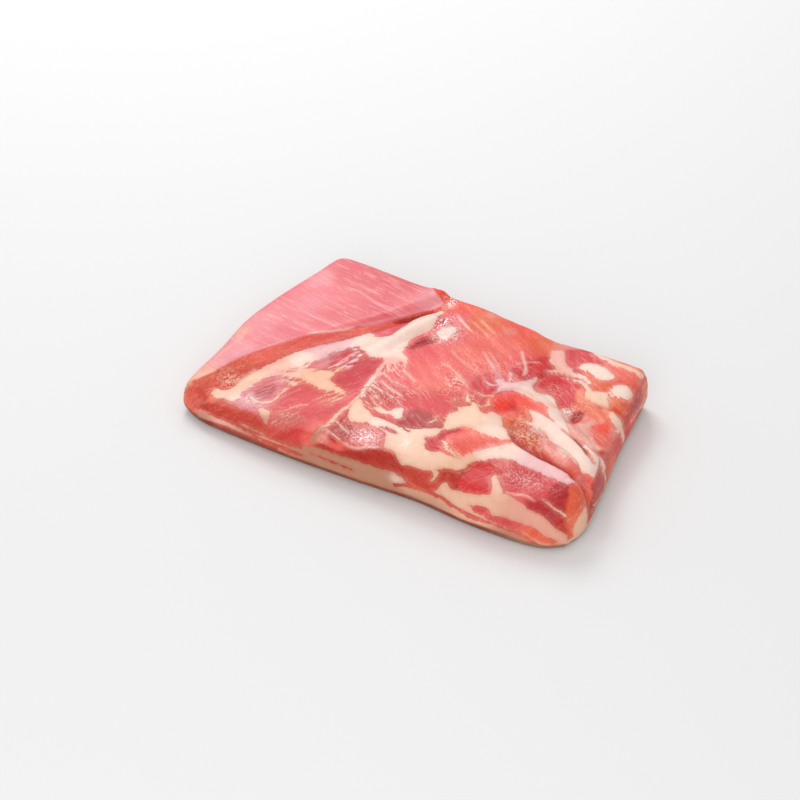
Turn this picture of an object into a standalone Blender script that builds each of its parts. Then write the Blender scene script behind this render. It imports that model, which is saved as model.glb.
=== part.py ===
"""A raw slab of boneless pork belly, lying rind side down, cut side up.

The slab is one closed solid. It starts as a cube cut into a regular grid, and every vertex of that
grid is then placed by three rules: the outline says where it lies in plan, the height field says how
high the meat is there, and the side profile rounds the rim and tucks the rind in at the bottom.
Columns of the grid that lie beside a crease are first moved onto it, so that it folds cleanly.

The frame has +X along the slab, +Y across it and +Z up, with its origin at the middle of the base.
Plan positions and heights below are written in millimetres and turned into metres once, at the end.
"""

import bmesh
import bpy
import numpy as np

MM = 0.001

# Driving dimensions, in millimetres
LENGTH = 264.0
WIDTH = 173.5
GRID_ALONG = 70  # quads along the slab
GRID_ACROSS = 48  # quads across the slab
GRID_DOWN = 5  # rows of quads down the sides
EDGE_CROWDING = 0.7  # 0 spreads the grid evenly, near 1 crowds it towards the rim

# The outline in plan, counter-clockwise, as four sides from corner to corner
NEAR_SIDE = [
    (-127, -66), (-112, -73), (-80, -77), (-40, -80), (0, -81), (36, -81), (70, -85), (102, -86), (118, -84),
    (129, -77),
]
RIGHT_SIDE = [
    (129, -77), (133, -63), (131, -45), (128, -25), (124, -4), (121, 14), (119, 34), (117, 52), (115, 64),
]
FAR_SIDE = [
    (115, 64), (98, 66), (84, 67), (70, 67), (54, 65), (38, 69), (20, 73), (2, 78), (-20, 81), (-29, 80),
    (-42, 79), (-66, 82), (-98, 85), (-104, 81),
]
LEFT_SIDE = [(-104, 81), (-110, 60), (-119, 30), (-125, 2), (-126, -28), (-129, -54), (-127, -66)]

# How thick the slab is just inside its near and far sides, as (place along X, height)
THICKNESS_NEAR = [(-130, 12), (-68, 19), (5, 25), (40, 28), (90, 26), (130, 23)]
THICKNESS_FAR = [(-130, 20), (-30, 25), (10, 28), (45, 30), (72, 29), (130, 30)]

# Rounding of the top edge, near side and far side, as (place along X, radius)
RIM_NEAR = [(-130, 4), (-60, 6), (40, 8), (95, 11), (130, 12)]
RIM_FAR = [(-130, 3), (-30, 4), (50, 7), (130, 5)]
RIND_TUCK = 2.0  # how far the sides curve in at the base
SIDE_SWELL = 1.2  # how far the sides stand out between rim and base

# The thin sheet of flank muscle on the left, which ends in a cut step
SHEET_EDGE = [
    (-130, -66), (-120, -53), (-108, -37), (-88, -9), (-66, 15), (-48, 35), (-36, 54), (-28, 72), (-25, 90),
]
SHEET_RISE = [(0, 5), (0.3, 8), (0.8, 7), (1, 4)]  # height of the step, as (share of its length, height)
SHEET_SLOPE = [(0, 13), (0.35, 8), (0.6, 5), (1, 4)]  # how far the cut face slopes out at its foot

# Rolls of meat and ropes of fat that stand up: route, half widths, heights
FAT_ROPE = [(-20, 52), (-25, 38), (-32, 24), (-37, 10), (-46, 0), (-58, -3)]
FAT_ROPE_WIDTH = [(0, 5), (0.5, 7), (1, 10)]
FAT_ROPE_HEIGHT = [(0, 3.5), (0.5, 4.0), (1, 1.0)]
FRONT_ROLL = [(40, -66), (52, -53), (70, -46), (88, -47), (106, -52), (124, -60)]
FRONT_ROLL_WIDTH = [(0, 14), (0.5, 24), (1, 22)]
FRONT_ROLL_HEIGHT = [(0, 3), (0.4, 10), (1, 9)]
SECOND_ROLL = [(62, 2), (78, -4), (94, -13), (110, -22), (128, -35)]
SECOND_ROLL_WIDTH = [(0, 12), (0.5, 17), (1, 16)]
SECOND_ROLL_HEIGHT = [(0, 4), (0.5, 7), (1, 7)]

# Creases: route, half widths, depths
ROLL_CREASE = [(50, -15), (67, -21), (81, -27), (95, -32), (107, -37), (117, -43), (125, -49), (136, -58)]
ROLL_CREASE_WIDTH = [(0, 5), (1, 5)]
ROLL_CREASE_DEPTH = [(0, 1), (0.4, 6), (0.8, 12), (1, 9)]
BACK_CREASE = [(73, 8), (89, 0), (102, -8), (115, -15), (125, -24), (136, -36)]
BACK_CREASE_WIDTH = [(0, 4), (1, 4)]
BACK_CREASE_DEPTH = [(0, 1.5), (0.6, 4), (1, 5)]
ROPE_CREASE = [(-14, 50), (-18, 38), (-24, 24), (-28, 9)]
ROPE_CREASE_WIDTH = [(0, 4), (1, 4)]
ROPE_CREASE_DEPTH = [(0, 2), (0.4, 4), (1, 2)]


CLEAN_FOLDS = (SHEET_EDGE, ROLL_CREASE, BACK_CREASE, ROPE_CREASE)  # lines that the grid follows

# Broad swells and hollows: centre, radii along and across, turn in degrees, height
SWELLS = [
    ((16, 6), (50, 40), -25, 8.0),  # the large middle muscle
    ((42, 44), (26, 18), -30, 3.0),  # its shoulder at the far side
    ((-58, -48), (40, 22), 20, 2.5),  # the flat muscle at the near left
    ((14, -56), (26, 12), -5, 2.0),  # the fat and lean above the near side
    ((52, -30), (14, 8), -20, 2.0),  # the red patch in the fat
    ((100, 34), (20, 14), 70, 3.0),  # the meat inside the right end
    ((94, -6), (7, 4), 60, -5.0),  # the pit beside the second roll
    ((78, 26), (18, 7), 60, -2.0),  # the dip beyond the middle muscle
    ((-88, -34), (28, 8), 48, -2.0),  # the trough below the cut step
]

PORK_PINK = (0.62, 0.16, 0.14, 1.0)


def along_curve(points, share):
    """Points at these shares, 0 to 1, of an open smooth curve through the given points."""
    knots = np.array(points, float)
    padded = np.vstack([2 * knots[0] - knots[1], knots, 2 * knots[-1] - knots[-2]])
    steps = np.hypot(*np.diff(knots, axis=0).T)
    place = np.interp(share, np.append(0, np.cumsum(steps)) / steps.sum(), np.arange(len(knots)))
    first = np.minimum(place.astype(int), len(knots) - 2)
    t = (place - first)[:, None]
    before, start, end, after = (padded[first + k] for k in range(4))
    return 0.5 * (
        2 * start
        + (end - before) * t
        + (2 * before - 5 * start + 4 * end - after) * t**2
        + (3 * start - 3 * end + after - before) * t**3
    )


def nearest_on(route, x, y, samples=60):
    """For each place: the nearest point of a route, its distance, positive on the left, and its share."""
    line = along_curve(route, np.linspace(0, 1, samples))
    best = np.full((5, len(x)), np.inf)
    for k, (start, end) in enumerate(zip(line[:-1], line[1:])):
        run = end - start
        t = np.clip(((x - start[0]) * run[0] + (y - start[1]) * run[1]) / (run @ run), 0, 1)
        px, py = start[0] + t * run[0], start[1] + t * run[1]
        distance = np.hypot(x - px, y - py)
        signed = distance * np.sign(run[0] * (y - py) - run[1] * (x - px))
        found = np.array([distance, px, py, signed, (k + t) / (samples - 1)])
        best = np.where(distance < best[0], found, best)
    return best[1:]


def measure_to(route, x, y, samples=60):
    """Distance to a route, with a positive sign on its left, and the share of its length passed."""
    return nearest_on(route, x, y, samples)[2:]


def table(pairs, place):
    """A value that changes along a length, read from (place, value) pairs."""
    places, values = zip(*pairs)
    return np.interp(place, places, values)


def smooth_step(t):
    t = np.clip(t, 0, 1)
    return t * t * (3 - 2 * t)


def roll(x, y, route, widths, heights):
    """A round-backed ridge that follows a route."""
    distance, share = measure_to(route, x, y)
    inside = np.clip(1 - (distance / table(widths, share)) ** 2, 0, None)
    return table(heights, share) * inside**1.5


def crease(x, y, route, widths, depths):
    """A narrow V that follows a route."""
    distance, share = measure_to(route, x, y)
    inside = np.clip(1 - np.abs(distance) / table(widths, share), 0, None)
    return -table(depths, share) * inside**1.3


def swell(x, y, centre, radii, turn, height):
    """A smooth oval mound, or a hollow where the height is negative."""
    c, s = np.cos(np.radians(turn)), np.sin(np.radians(turn))
    dx, dy = x - centre[0], y - centre[1]
    along = (c * dx + s * dy) / radii[0]
    across = (c * dy - s * dx) / radii[1]
    return height * np.exp(-(along**2) - across**2)


def meat_height(x, y):
    """Height of the cut side above the base, before the rim is rounded."""
    across = np.clip((y + WIDTH / 2) / WIDTH, 0, 1)
    near, far = table(THICKNESS_NEAR, x), table(THICKNESS_FAR, x)
    height = near + (far - near) * across
    for centre, radii, turn, rise in SWELLS:
        height = height + swell(x, y, centre, radii, turn, rise)
    height += roll(x, y, FRONT_ROLL, FRONT_ROLL_WIDTH, FRONT_ROLL_HEIGHT)
    height += roll(x, y, SECOND_ROLL, SECOND_ROLL_WIDTH, SECOND_ROLL_HEIGHT)
    height += roll(x, y, FAT_ROPE, FAT_ROPE_WIDTH, FAT_ROPE_HEIGHT)
    distance, share = measure_to(SHEET_EDGE, x, y)
    slope = table(SHEET_SLOPE, share)
    height += table(SHEET_RISE, share) * smooth_step(1 + distance / slope)
    height += crease(x, y, ROLL_CREASE, ROLL_CREASE_WIDTH, ROLL_CREASE_DEPTH)
    height += crease(x, y, BACK_CREASE, BACK_CREASE_WIDTH, BACK_CREASE_DEPTH)
    height += crease(x, y, ROPE_CREASE, ROPE_CREASE_WIDTH, ROPE_CREASE_DEPTH)
    return height


def outline_point(u, v):
    """Plan position of a point of the unit square, blended from the outline's four sides."""
    near, far = along_curve(NEAR_SIDE, u), along_curve(FAR_SIDE, 1 - u)
    left, right = along_curve(LEFT_SIDE, 1 - v), along_curve(RIGHT_SIDE, v)
    u, v = u[:, None], v[:, None]
    corners = (
        (1 - u) * (1 - v) * np.array(NEAR_SIDE[0])
        + u * (1 - v) * np.array(RIGHT_SIDE[0])
        + u * v * np.array(FAR_SIDE[0])
        + (1 - u) * v * np.array(LEFT_SIDE[0])
    )
    return (1 - v) * near + v * far + (1 - u) * left + u * right - corners


def plan_lattice():
    """Plan positions of the grid's columns, with three of every rank lined up along each clean fold."""
    crowd = np.pi / 2 * EDGE_CROWDING
    ranks = [np.linspace(-1, 1, count + 1) for count in (GRID_ALONG, GRID_ACROSS)]
    u, v = np.meshgrid(*(0.5 + 0.5 * np.sin(r * crowd) / np.sin(crowd) for r in ranks), indexing="ij")
    plan = outline_point(u.ravel(), v.ravel()).T.reshape(2, *u.shape)
    inner = np.maximum(abs(2 * u - 1), abs(2 * v - 1)) < 0.999
    for route in CLEAN_FOLDS:
        *foot, distance, share = (m.reshape(u.shape) for m in nearest_on(route, *plan.reshape(2, -1)))
        run, rise = np.abs(np.subtract(route[-1], route[0]))
        axis = 1 if run > rise else 0
        away = (plan - foot) / np.abs(distance).clip(1e-9)
        spacing = np.abs((away * np.gradient(plan, axis=axis + 1)).sum(axis=0))
        beside = inner & (share > 0) & (share < 1)
        gap = np.where(beside & (np.abs(distance) < spacing), np.abs(distance), np.inf)
        nearest = np.isfinite(gap) & (gap == gap.min(axis=axis, keepdims=True))
        for step in (0, -1, 1):
            lined_up = foot + away * spacing * abs(step)
            plan = np.where(np.roll(nearest, step, axis) & beside, lined_up, plan)
    return plan


def slab_positions(corners):
    """Where the vertices of the cube from -1 to 1 go, scaled to the driving dimensions."""
    counts = np.array([GRID_ALONG, GRID_ACROSS])
    column, row = np.round((corners[:, :2] + 1) / 2 * counts).astype(int).T
    x, y = plan_lattice()[:, column, row]
    outline = np.array(NEAR_SIDE[:-1] + RIGHT_SIDE[:-1] + FAR_SIDE[:-1] + LEFT_SIDE, float)
    on_rim = np.abs(corners[:, :2]).max(axis=1) > 0.999
    from_rim = np.where(on_rim, 0, np.abs(measure_to(outline, x, y, samples=200)[0]))

    share = np.clip((y + WIDTH / 2) / WIDTH, 0, 1)
    radius = table(RIM_NEAR, x) * (1 - share) + table(RIM_FAR, x) * share
    over = np.clip(1 - from_rim / radius, 0, 1)
    top = meat_height(x, y) - radius * (1 - np.sqrt(1 - over**2))

    down = 0.5 - 0.5 * corners[:, 2]
    z = top * (1 - down)
    tucked = np.clip(1 - z / (2 * RIND_TUCK), 0, 1) ** 2 * RIND_TUCK
    outward = np.where(on_rim, SIDE_SWELL * np.sin(np.pi * down) - tucked * down, -tucked * down)
    spread = 1 + outward / np.hypot(x, y).clip(1)
    x, y = x * spread, y * spread
    x = (x - (x.max() + x.min()) / 2) * LENGTH / np.ptp(x)
    y = (y - (y.max() + y.min()) / 2) * WIDTH / np.ptp(y)
    return np.stack([x, y, z], axis=1)


def cut_cube(along, across, down):
    """A cube from -1 to 1 whose faces are cut into a regular grid."""
    bm = bmesh.new()
    bmesh.ops.create_cube(bm, size=2)
    for axis, segments in enumerate((along, across, down)):
        parallel = [
            e for e in bm.edges if abs(abs(e.verts[0].co[axis] - e.verts[1].co[axis]) - 2) < 1e-4
        ]
        bmesh.ops.subdivide_edges(bm, edges=parallel, cuts=segments - 1, use_grid_fill=True)
    return bm


def split_along_level(bm, faces):
    """Splits each quad between its two opposite corners that are closer in height."""
    for face in faces:
        first, second, third, fourth = face.verts
        ends = min(((first, third), (second, fourth)), key=lambda pair: abs(pair[0].co.z - pair[1].co.z))
        bmesh.utils.face_split(face, *ends)


def make_slab():
    """The slab as one mesh, with its base as a single flat face."""
    bm = cut_cube(GRID_ALONG, GRID_ACROSS, GRID_DOWN)
    cut_side = [f for f in bm.faces if f.normal.z > 0.5]
    places = slab_positions(np.array([v.co for v in bm.verts], float))
    for vertex, place in zip(bm.verts, places * MM):
        vertex.co = place
    split_along_level(bm, cut_side)
    base = [f for f in bm.faces if all(v.co.z < 1e-6 for v in f.verts)]
    bmesh.ops.dissolve_faces(bm, faces=base, use_verts=True)
    mesh = bpy.data.meshes.new("belly_slab")
    bm.to_mesh(mesh)
    bm.free()
    mesh.shade_smooth()
    return mesh


def pork_material():
    """Raw pork, pink and moist."""
    material = bpy.data.materials.new("raw_pork")
    material.use_nodes = True
    shader = material.node_tree.nodes["Principled BSDF"]
    shader.inputs["Base Color"].default_value = PORK_PINK
    shader.inputs["Metallic"].default_value = 0.0
    shader.inputs["Roughness"].default_value = 0.38
    material.diffuse_color = PORK_PINK
    return material


def main():
    for old in list(bpy.data.objects):
        bpy.data.objects.remove(old)
    collection = bpy.data.collections.new("pork_belly_slab")
    bpy.context.scene.collection.children.link(collection)
    slab = bpy.data.objects.new("belly_slab", make_slab())
    slab.data.materials.append(pork_material())
    collection.objects.link(slab)


main()
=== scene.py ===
"""Looks of a raw slab of boneless pork belly that lies rind side down on a pale floor.

The slab is one piece. Its mesh starts from the solid of the part, is cut finer and smoothed, and is
then carved where folds, a cut step and soft fat show. Lean, fat, silverskin and rind are painted on
its vertices as colours and as distances in millimetres, along with painted shade in folds and a few
painted highlights, and one material turns them into surfaces.

The painting chart is the slab seen from its near side at 45 degrees: x runs along the slab, and rise
is y + z, so the top and the near side lie on one map without a seam. The right end has a chart of its
own, of y and z.
"""

import math
from types import SimpleNamespace

import bmesh
import bpy
import numpy as np
from bpy.props import FloatProperty, FloatVectorProperty, PointerProperty
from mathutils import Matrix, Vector, noise


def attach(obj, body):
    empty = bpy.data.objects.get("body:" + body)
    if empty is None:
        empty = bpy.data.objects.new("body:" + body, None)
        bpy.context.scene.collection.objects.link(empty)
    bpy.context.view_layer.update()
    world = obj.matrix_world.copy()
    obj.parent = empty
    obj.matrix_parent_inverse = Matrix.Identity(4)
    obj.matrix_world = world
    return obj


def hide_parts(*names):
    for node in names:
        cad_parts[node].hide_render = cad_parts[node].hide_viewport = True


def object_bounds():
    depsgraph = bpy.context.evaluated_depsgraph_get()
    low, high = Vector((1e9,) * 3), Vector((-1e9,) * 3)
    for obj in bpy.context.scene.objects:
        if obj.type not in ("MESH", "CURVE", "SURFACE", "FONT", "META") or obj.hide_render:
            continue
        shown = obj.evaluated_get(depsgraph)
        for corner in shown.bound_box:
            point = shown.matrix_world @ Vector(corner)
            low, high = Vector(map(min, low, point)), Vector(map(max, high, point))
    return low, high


bl_info = {
    "name": "Pork belly slab",
    "version": (1, 0, 0),
    "blender": (4, 5, 0),
    "location": "3D View > Sidebar > Pork belly",
    "description": "Dresses the raw pork belly slab and sets up its pale stage",
    "category": "Object",
}

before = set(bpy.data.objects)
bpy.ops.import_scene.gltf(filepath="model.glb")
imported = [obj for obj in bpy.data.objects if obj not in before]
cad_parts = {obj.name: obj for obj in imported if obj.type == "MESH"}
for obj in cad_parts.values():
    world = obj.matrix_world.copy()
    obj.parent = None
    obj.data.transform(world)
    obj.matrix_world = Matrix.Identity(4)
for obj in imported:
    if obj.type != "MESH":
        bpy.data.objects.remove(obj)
SOLID_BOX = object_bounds()

MM = 0.001
ON_TABLE = 1e-5  # a vertex lower than this, in metres, is part of the flat base
REACH = 9.0  # how far from its line or outline, in millimetres, a distance is worked out
WHOLE_CHART = 400.0  # a reach that takes in every place on the chart


def linear(hexa):
    """A colour written as sRGB hex, in linear light."""
    parts = [int(hexa[k : k + 2], 16) / 255 for k in (0, 2, 4)]
    return tuple(p / 12.92 if p <= 0.04045 else ((p + 0.055) / 1.055) ** 2.4 for p in parts)


def tint(name, description, hexa):
    """A colour that a user may change."""
    return FloatVectorProperty(
        name=name, description=description, subtype="COLOR", size=3, min=0, max=1, default=linear(hexa)
    )


def length(name, description, millimetres):
    """A size that a user may change."""
    return FloatProperty(name=name, description=description, default=millimetres * MM, unit="LENGTH")


class LeanColours(bpy.types.PropertyGroup):
    """Colours of the muscles"""

    sheet: tint("Sheet", "Thin flank muscle under its silverskin", "EE7D85")
    sheet_deep: tint("Sheet, deep", "Where the silverskin is thinnest", "E2646E")
    sheet_pale: tint("Sheet, pale", "Streaks where the silverskin is thickest", "EE9AA2")
    sheet_rim: tint("Sheet, rim", "Dried left edge of the sheet", "F2AE9C")
    salmon: tint("Salmon", "Middle muscle, lightest", "F27062")
    rose: tint("Rose", "Middle muscle, towards the fat rope", "EE5C64")
    coral: tint("Coral", "Freshly cut far edge", "F65A44")
    orange: tint("Orange", "Muscle that has dried a little", "EA6A46")
    apricot: tint("Apricot", "Muscle at the far right, with fat in its grain", "F3866A")
    flat: tint("Flat", "Flat muscle at the near left", "DC3D42")
    deep: tint("Deep", "Moist lean", "D63238")
    crimson: tint("Crimson", "Lean in the shade of the rope", "CE2636")
    scarlet: tint("Scarlet", "Brightest lean, on the second roll", "EE4034")
    wine: tint("Wine", "Lean under silverskin", "BE3846")
    dusk: tint("Dusk", "Dark low end of the middle muscle", "B4262B")
    brick: tint("Brick", "Cut near face at the left", "CC4836")
    rust: tint("Rust", "Dark lean under the fat field", "BC3222")
    # Umber paints shade deep in folds, over the darker lean there
    umber_shade: tint("Umber", "Lean deep in a fold", "8E2416")
    ginger: tint("Ginger", "Rough slope of the second roll", "CE522E")
    veiled: tint("Veiled", "Lean that shows through thin fat", "F0968A")
    # Partly a painted sheen, the pearly pink of light off the glossy film, over the film's own pale colour
    sheen: tint("Sheen", "Lean under a pearly film", "DE7F88")
    roll: tint("Roll", "Marbled lean of the front roll", "DA4C50")
    garnet: tint("Garnet", "Cut end of the front roll", "B6262A")


class FatColours(bpy.types.PropertyGroup):
    """Colours of fat, silverskin and rind, and of the juice on them"""

    cream: tint("Cream", "Soft fat on the cut side", "F5CEB4")
    milk: tint("Milk", "Whitest fat", "FADFD0")
    blush: tint("Blush", "Fat stained by the lean", "F6BDAF")
    pearl: tint("Pearl", "Silverskin over fat", "F0C2C2")
    peach: tint("Peach", "Yellower fat", "F3C2A2")
    layer: tint("Layer", "Hard back fat at the near side", "E8B99C")
    layer_pink: tint("Layer, pink", "Back fat at the right", "E2A28D")
    tan: tint("Tan", "Back fat beside the rind", "B88368")
    # Dark enough that, besides the scalded skin's own colour, it paints the contact shade along the table
    rind: tint("Rind", "Scalded skin", "7E5A48")
    # Painted highlight: the near-white that glints on wet grain are painted with
    painted_glint: tint("Glint", "Wet bits of fat and juice that shine", "FFF7F1")
    # Blood and painted shade: folds and the foot of the near side are darkened with it
    blood_and_shade: tint("Blood", "What folds and the foot of the near side are stained with", "D7816F")


class SlabSizes(bpy.types.PropertyGroup):
    """Sizes of the slab's relief and patterns"""

    fat_rise: length("Fat rise", "How far soft fat stands above the lean", 0.6)
    grain_rise: length("Grain rise", "Height of the coarse muscle grain", 0.25)
    lobule_rise: length("Lobule rise", "Height of the lobules of fat", 0.35)
    torn_rise: length("Torn rise", "Height of the crumbs where a cut tore the grain", 0.5)
    bundle_width: length("Bundle width", "Width of a bundle of muscle fibres", 1.2)
    tuft_width: length("Tuft width", "Width of a frayed tuft of fibres", 1.5)
    cloud_size: length("Cloud size", "Size of the broad clouds in the lean", 8)
    crumb_size: length("Crumb size", "Size of crumbs of torn grain and glints", 1.3)
    web_size: length("Web size", "Size of a mesh in the web of marbling", 2.2)
    lobule_size: length("Lobule size", "Size of a lobule of fat", 3.5)
    thread_gap: length("Thread gap", "Distance between threads of marbling", 4.5)
    band_gap: length("Band gap", "Distance between the pale bands of the flank muscle", 1.8)
    # The skin is drawn taller than real rind, so its dark tint also paints the contact shade at the foot of
    # the near side
    rind_depth: length("Rind depth", "Thickness of the skin", 5)


# ---- The painting chart, in millimetres: (x, rise) ----

# The sheet of flank muscle ends in a cut step: its top edge and its foot
STEP_TOP = [
    (-127, -45), (-122, -37), (-118, -30), (-114, -21), (-109, -10), (-104, -2), (-97, 8), (-90, 18),
    (-84, 26), (-76, 33), (-65, 42), (-59, 50), (-49, 60), (-44, 67), (-38, 74), (-31, 83), (-26, 89),
    (-25, 95), (-28, 100), (-34, 106), (-40, 114),
]
STEP_FOOT = [
    (-114, -48), (-113, -41), (-107, -40), (-104, -36), (-103, -28), (-99, -16), (-93, -4), (-86, 9),
    (-77, 21), (-69, 30), (-60, 40), (-53, 49), (-45, 58), (-39, 66), (-33, 75), (-27, 84), (-22, 92),
    (-22, 99), (-26, 106), (-34, 116),
]

# Fat on the cut side, drawn in order: what (fat or lean), outline
PATCHES = [
    # Band below the step
    ("fat", [
        (-113, -47), (-112, -40), (-107, -41), (-104, -36), (-103, -28), (-99, -17), (-93, -4), (-86, 9),
        (-77, 21), (-69, 30), (-60, 40), (-52, 49), (-48, 46), (-52, 36), (-57, 27), (-62, 20), (-67, 12),
        (-71, 3), (-69, -4), (-66, -9), (-76, -13), (-85, -14), (-90, -20), (-92, -28), (-94, -36),
        (-93, -43), (-95, -49), (-101, -48), (-107, -50),
    ]),
    # Patch that joins the band to the seam
    ("fat", [
        (-76, -6), (-68, 2), (-61, 3), (-54, 6), (-51, -1), (-48, -6), (-38, -9), (-34, -14), (-42, -14),
        (-52, -15), (-62, -12), (-70, -9),
    ]),
    # Rope
    ("fat", [
        (-61, 36), (-54, 46), (-43, 47), (-36, 51), (-35, 60), (-34, 70), (-31, 81), (-26, 89), (-21, 88),
        (-20, 79), (-19, 69), (-22, 61), (-25, 53), (-24, 46), (-22, 39), (-16, 35), (-14, 28), (-14, 21),
        (-19, 19), (-25, 20), (-28, 14), (-30, 19), (-29, 25), (-32, 29), (-39, 27), (-47, 31), (-54, 30),
    ]),
    # Blob beside the seam
    ("fat", [
        (-27, -20), (-27, -13), (-23, -13), (-19, -18), (-12, -22), (-8, -27), (-12, -32), (-17, -34),
        (-22, -33), (-25, -28),
    ]),
    # Bright bits at the low end of the middle muscle
    ("fat", [(-3, -16), (-1, -11), (3, -9), (6, -13), (7, -18), (3, -20)]),
    ("fat", [(-15, -17), (-10, -14), (-4, -16), (-2, -18), (-8, -19)]),
    # Broad field above the front roll, running out in its crest
    ("fat", [
        (9, -47), (6, -38), (4, -31), (10, -27), (16, -26), (21, -23), (26, -18), (32, -14), (32, -10),
        (30, -6), (32, 0), (35, 3), (37, 10), (40, 14), (44, 12), (47, 8), (51, 8), (52, 11), (58, 10),
        (61, 6), (67, 0), (72, -3), (78, -9), (85, -12), (96, -15), (108, -19), (118, -23), (123, -26),
        (117, -29), (101, -27), (88, -25), (82, -24), (75, -26), (68, -31), (61, -37), (60, -42), (57, -46),
        (51, -47), (47, -50), (45, -54), (43, -53), (38, -54), (32, -54), (28, -54), (24, -56), (21, -53),
        (17, -48),
    ]),
    # Dark low end of the middle muscle
    ("lean", [
        (9, -24), (7, -16), (5, -10), (13, -2), (20, -3), (23, -8), (24, -13), (27, -9), (32, -11), (33, -16),
        (27, -19), (20, -22), (15, -24),
    ]),
    # Red patch in the field
    ("lean", [
        (34, -38), (29, -29), (29, -24), (34, -18), (40, -14), (45, -9), (51, -9), (58, -11), (66, -11),
        (73, -10), (80, -7), (74, -15), (68, -20), (61, -27), (55, -33), (50, -34), (44, -35), (39, -38),
    ]),
    # Hand between the middle muscle and the second roll
    ("fat", [
        (40, 41), (45, 41), (50, 40), (54, 43), (58, 49), (60, 54), (62, 51), (62, 45), (67, 39), (74, 41),
        (80, 37), (85, 31), (91, 25), (98, 18), (103, 11), (99, 12), (90, 18), (84, 23), (81, 28), (77, 32),
        (70, 32), (63, 34), (55, 34), (49, 30), (47, 23), (48, 15), (46, 20), (47, 27), (47, 32), (44, 36),
    ]),
    # Back of the second roll
    ("fat", [
        (71, 22), (75, 23), (82, 21), (90, 18), (96, 15), (101, 12), (107, 8), (113, 6), (119, 0), (125, -5),
        (127, -11), (127, -16), (123, -15), (116, -17), (110, -14), (102, -9), (96, -2), (91, 5), (84, 9),
        (79, 9), (76, 15),
    ]),
    # Spots of the far right block
    ("fat", [(77, 74), (78, 79), (84, 82), (91, 81), (98, 78), (101, 74), (97, 69), (92, 69), (87, 71)]),
    ("fat", [(104, 60), (104, 66), (107, 70), (111, 70), (114, 66), (115, 60), (111, 58), (107, 57)]),
    ("fat", [
        (89, 60), (94, 57), (99, 58), (104, 59), (106, 53), (109, 46), (104, 46), (98, 47), (93, 50),
        (91, 54),
    ]),
    ("fat", [(57, 82), (63, 85), (67, 78), (71, 73), (75, 71), (74, 66), (68, 65), (61, 71), (59, 76)]),
    # Wedge in the front roll
    ("fat", [
        (76, -44), (78, -40), (81, -43), (84, -47), (88, -52), (90, -60), (81, -60), (81, -54), (79, -48),
    ]),
    # Painted highlight under the rope, drawn as a white bit of fat
    ("fat", [(-14, 66), (-12, 73), (-6, 77), (-3, 73), (-3, 66), (-7, 62)]),
    # Tongue of the field under the dark low end
    ("fat", [
        (-12, -24), (-2, -24), (8, -26), (16, -25), (24, -21), (31, -17), (34, -24), (20, -31), (8, -34),
        (-3, -32), (-10, -31),
    ]),
    # Back fat along the near side
    ("fat", [
        (-40, -65), (-28, -63), (-21, -64), (-10, -63.5), (8, -63.5), (16, -63), (25, -66), (32, -69),
        (43, -69), (49, -65), (51, -60), (54, -58), (57, -61), (66, -61), (75, -59), (82, -56), (89, -52),
        (96, -54), (101, -55), (105, -58), (114, -59), (122, -65), (129, -67), (132, -74), (134, -96),
        (0, -96), (-36, -96), (-44, -80),
    ]),
    ("fat", [
        (-114, -64), (-104, -65), (-92, -66), (-80, -68), (-66, -68), (-52, -69), (-38, -70), (-36, -96),
        (-130, -96), (-124, -74),
    ]),
    # Streak of lean in the back fat
    ("lean", [
        (71, -69), (77, -67), (82, -67), (85, -71), (92, -70), (99, -70), (106, -70), (111, -70), (116, -73),
        (123, -74), (119, -78), (111, -78), (105, -75), (95, -76), (84, -75), (74, -73),
    ]),
    # Lean left of the seam
    ("lean", [(-60, 15), (-58, 22), (-55, 27), (-50, 26), (-50, 20), (-52, 13), (-55, 7)]),
    ("lean", [
        (-51, -4), (-51, 1), (-48, 8), (-46, 17), (-46, 23), (-45, 28), (-42, 28), (-39, 25), (-34, 27),
        (-31, 27), (-29, 23), (-30, 17), (-30, 8), (-31, 0), (-32, -6), (-37, -9), (-43, -7), (-48, -5),
    ]),
]

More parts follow.
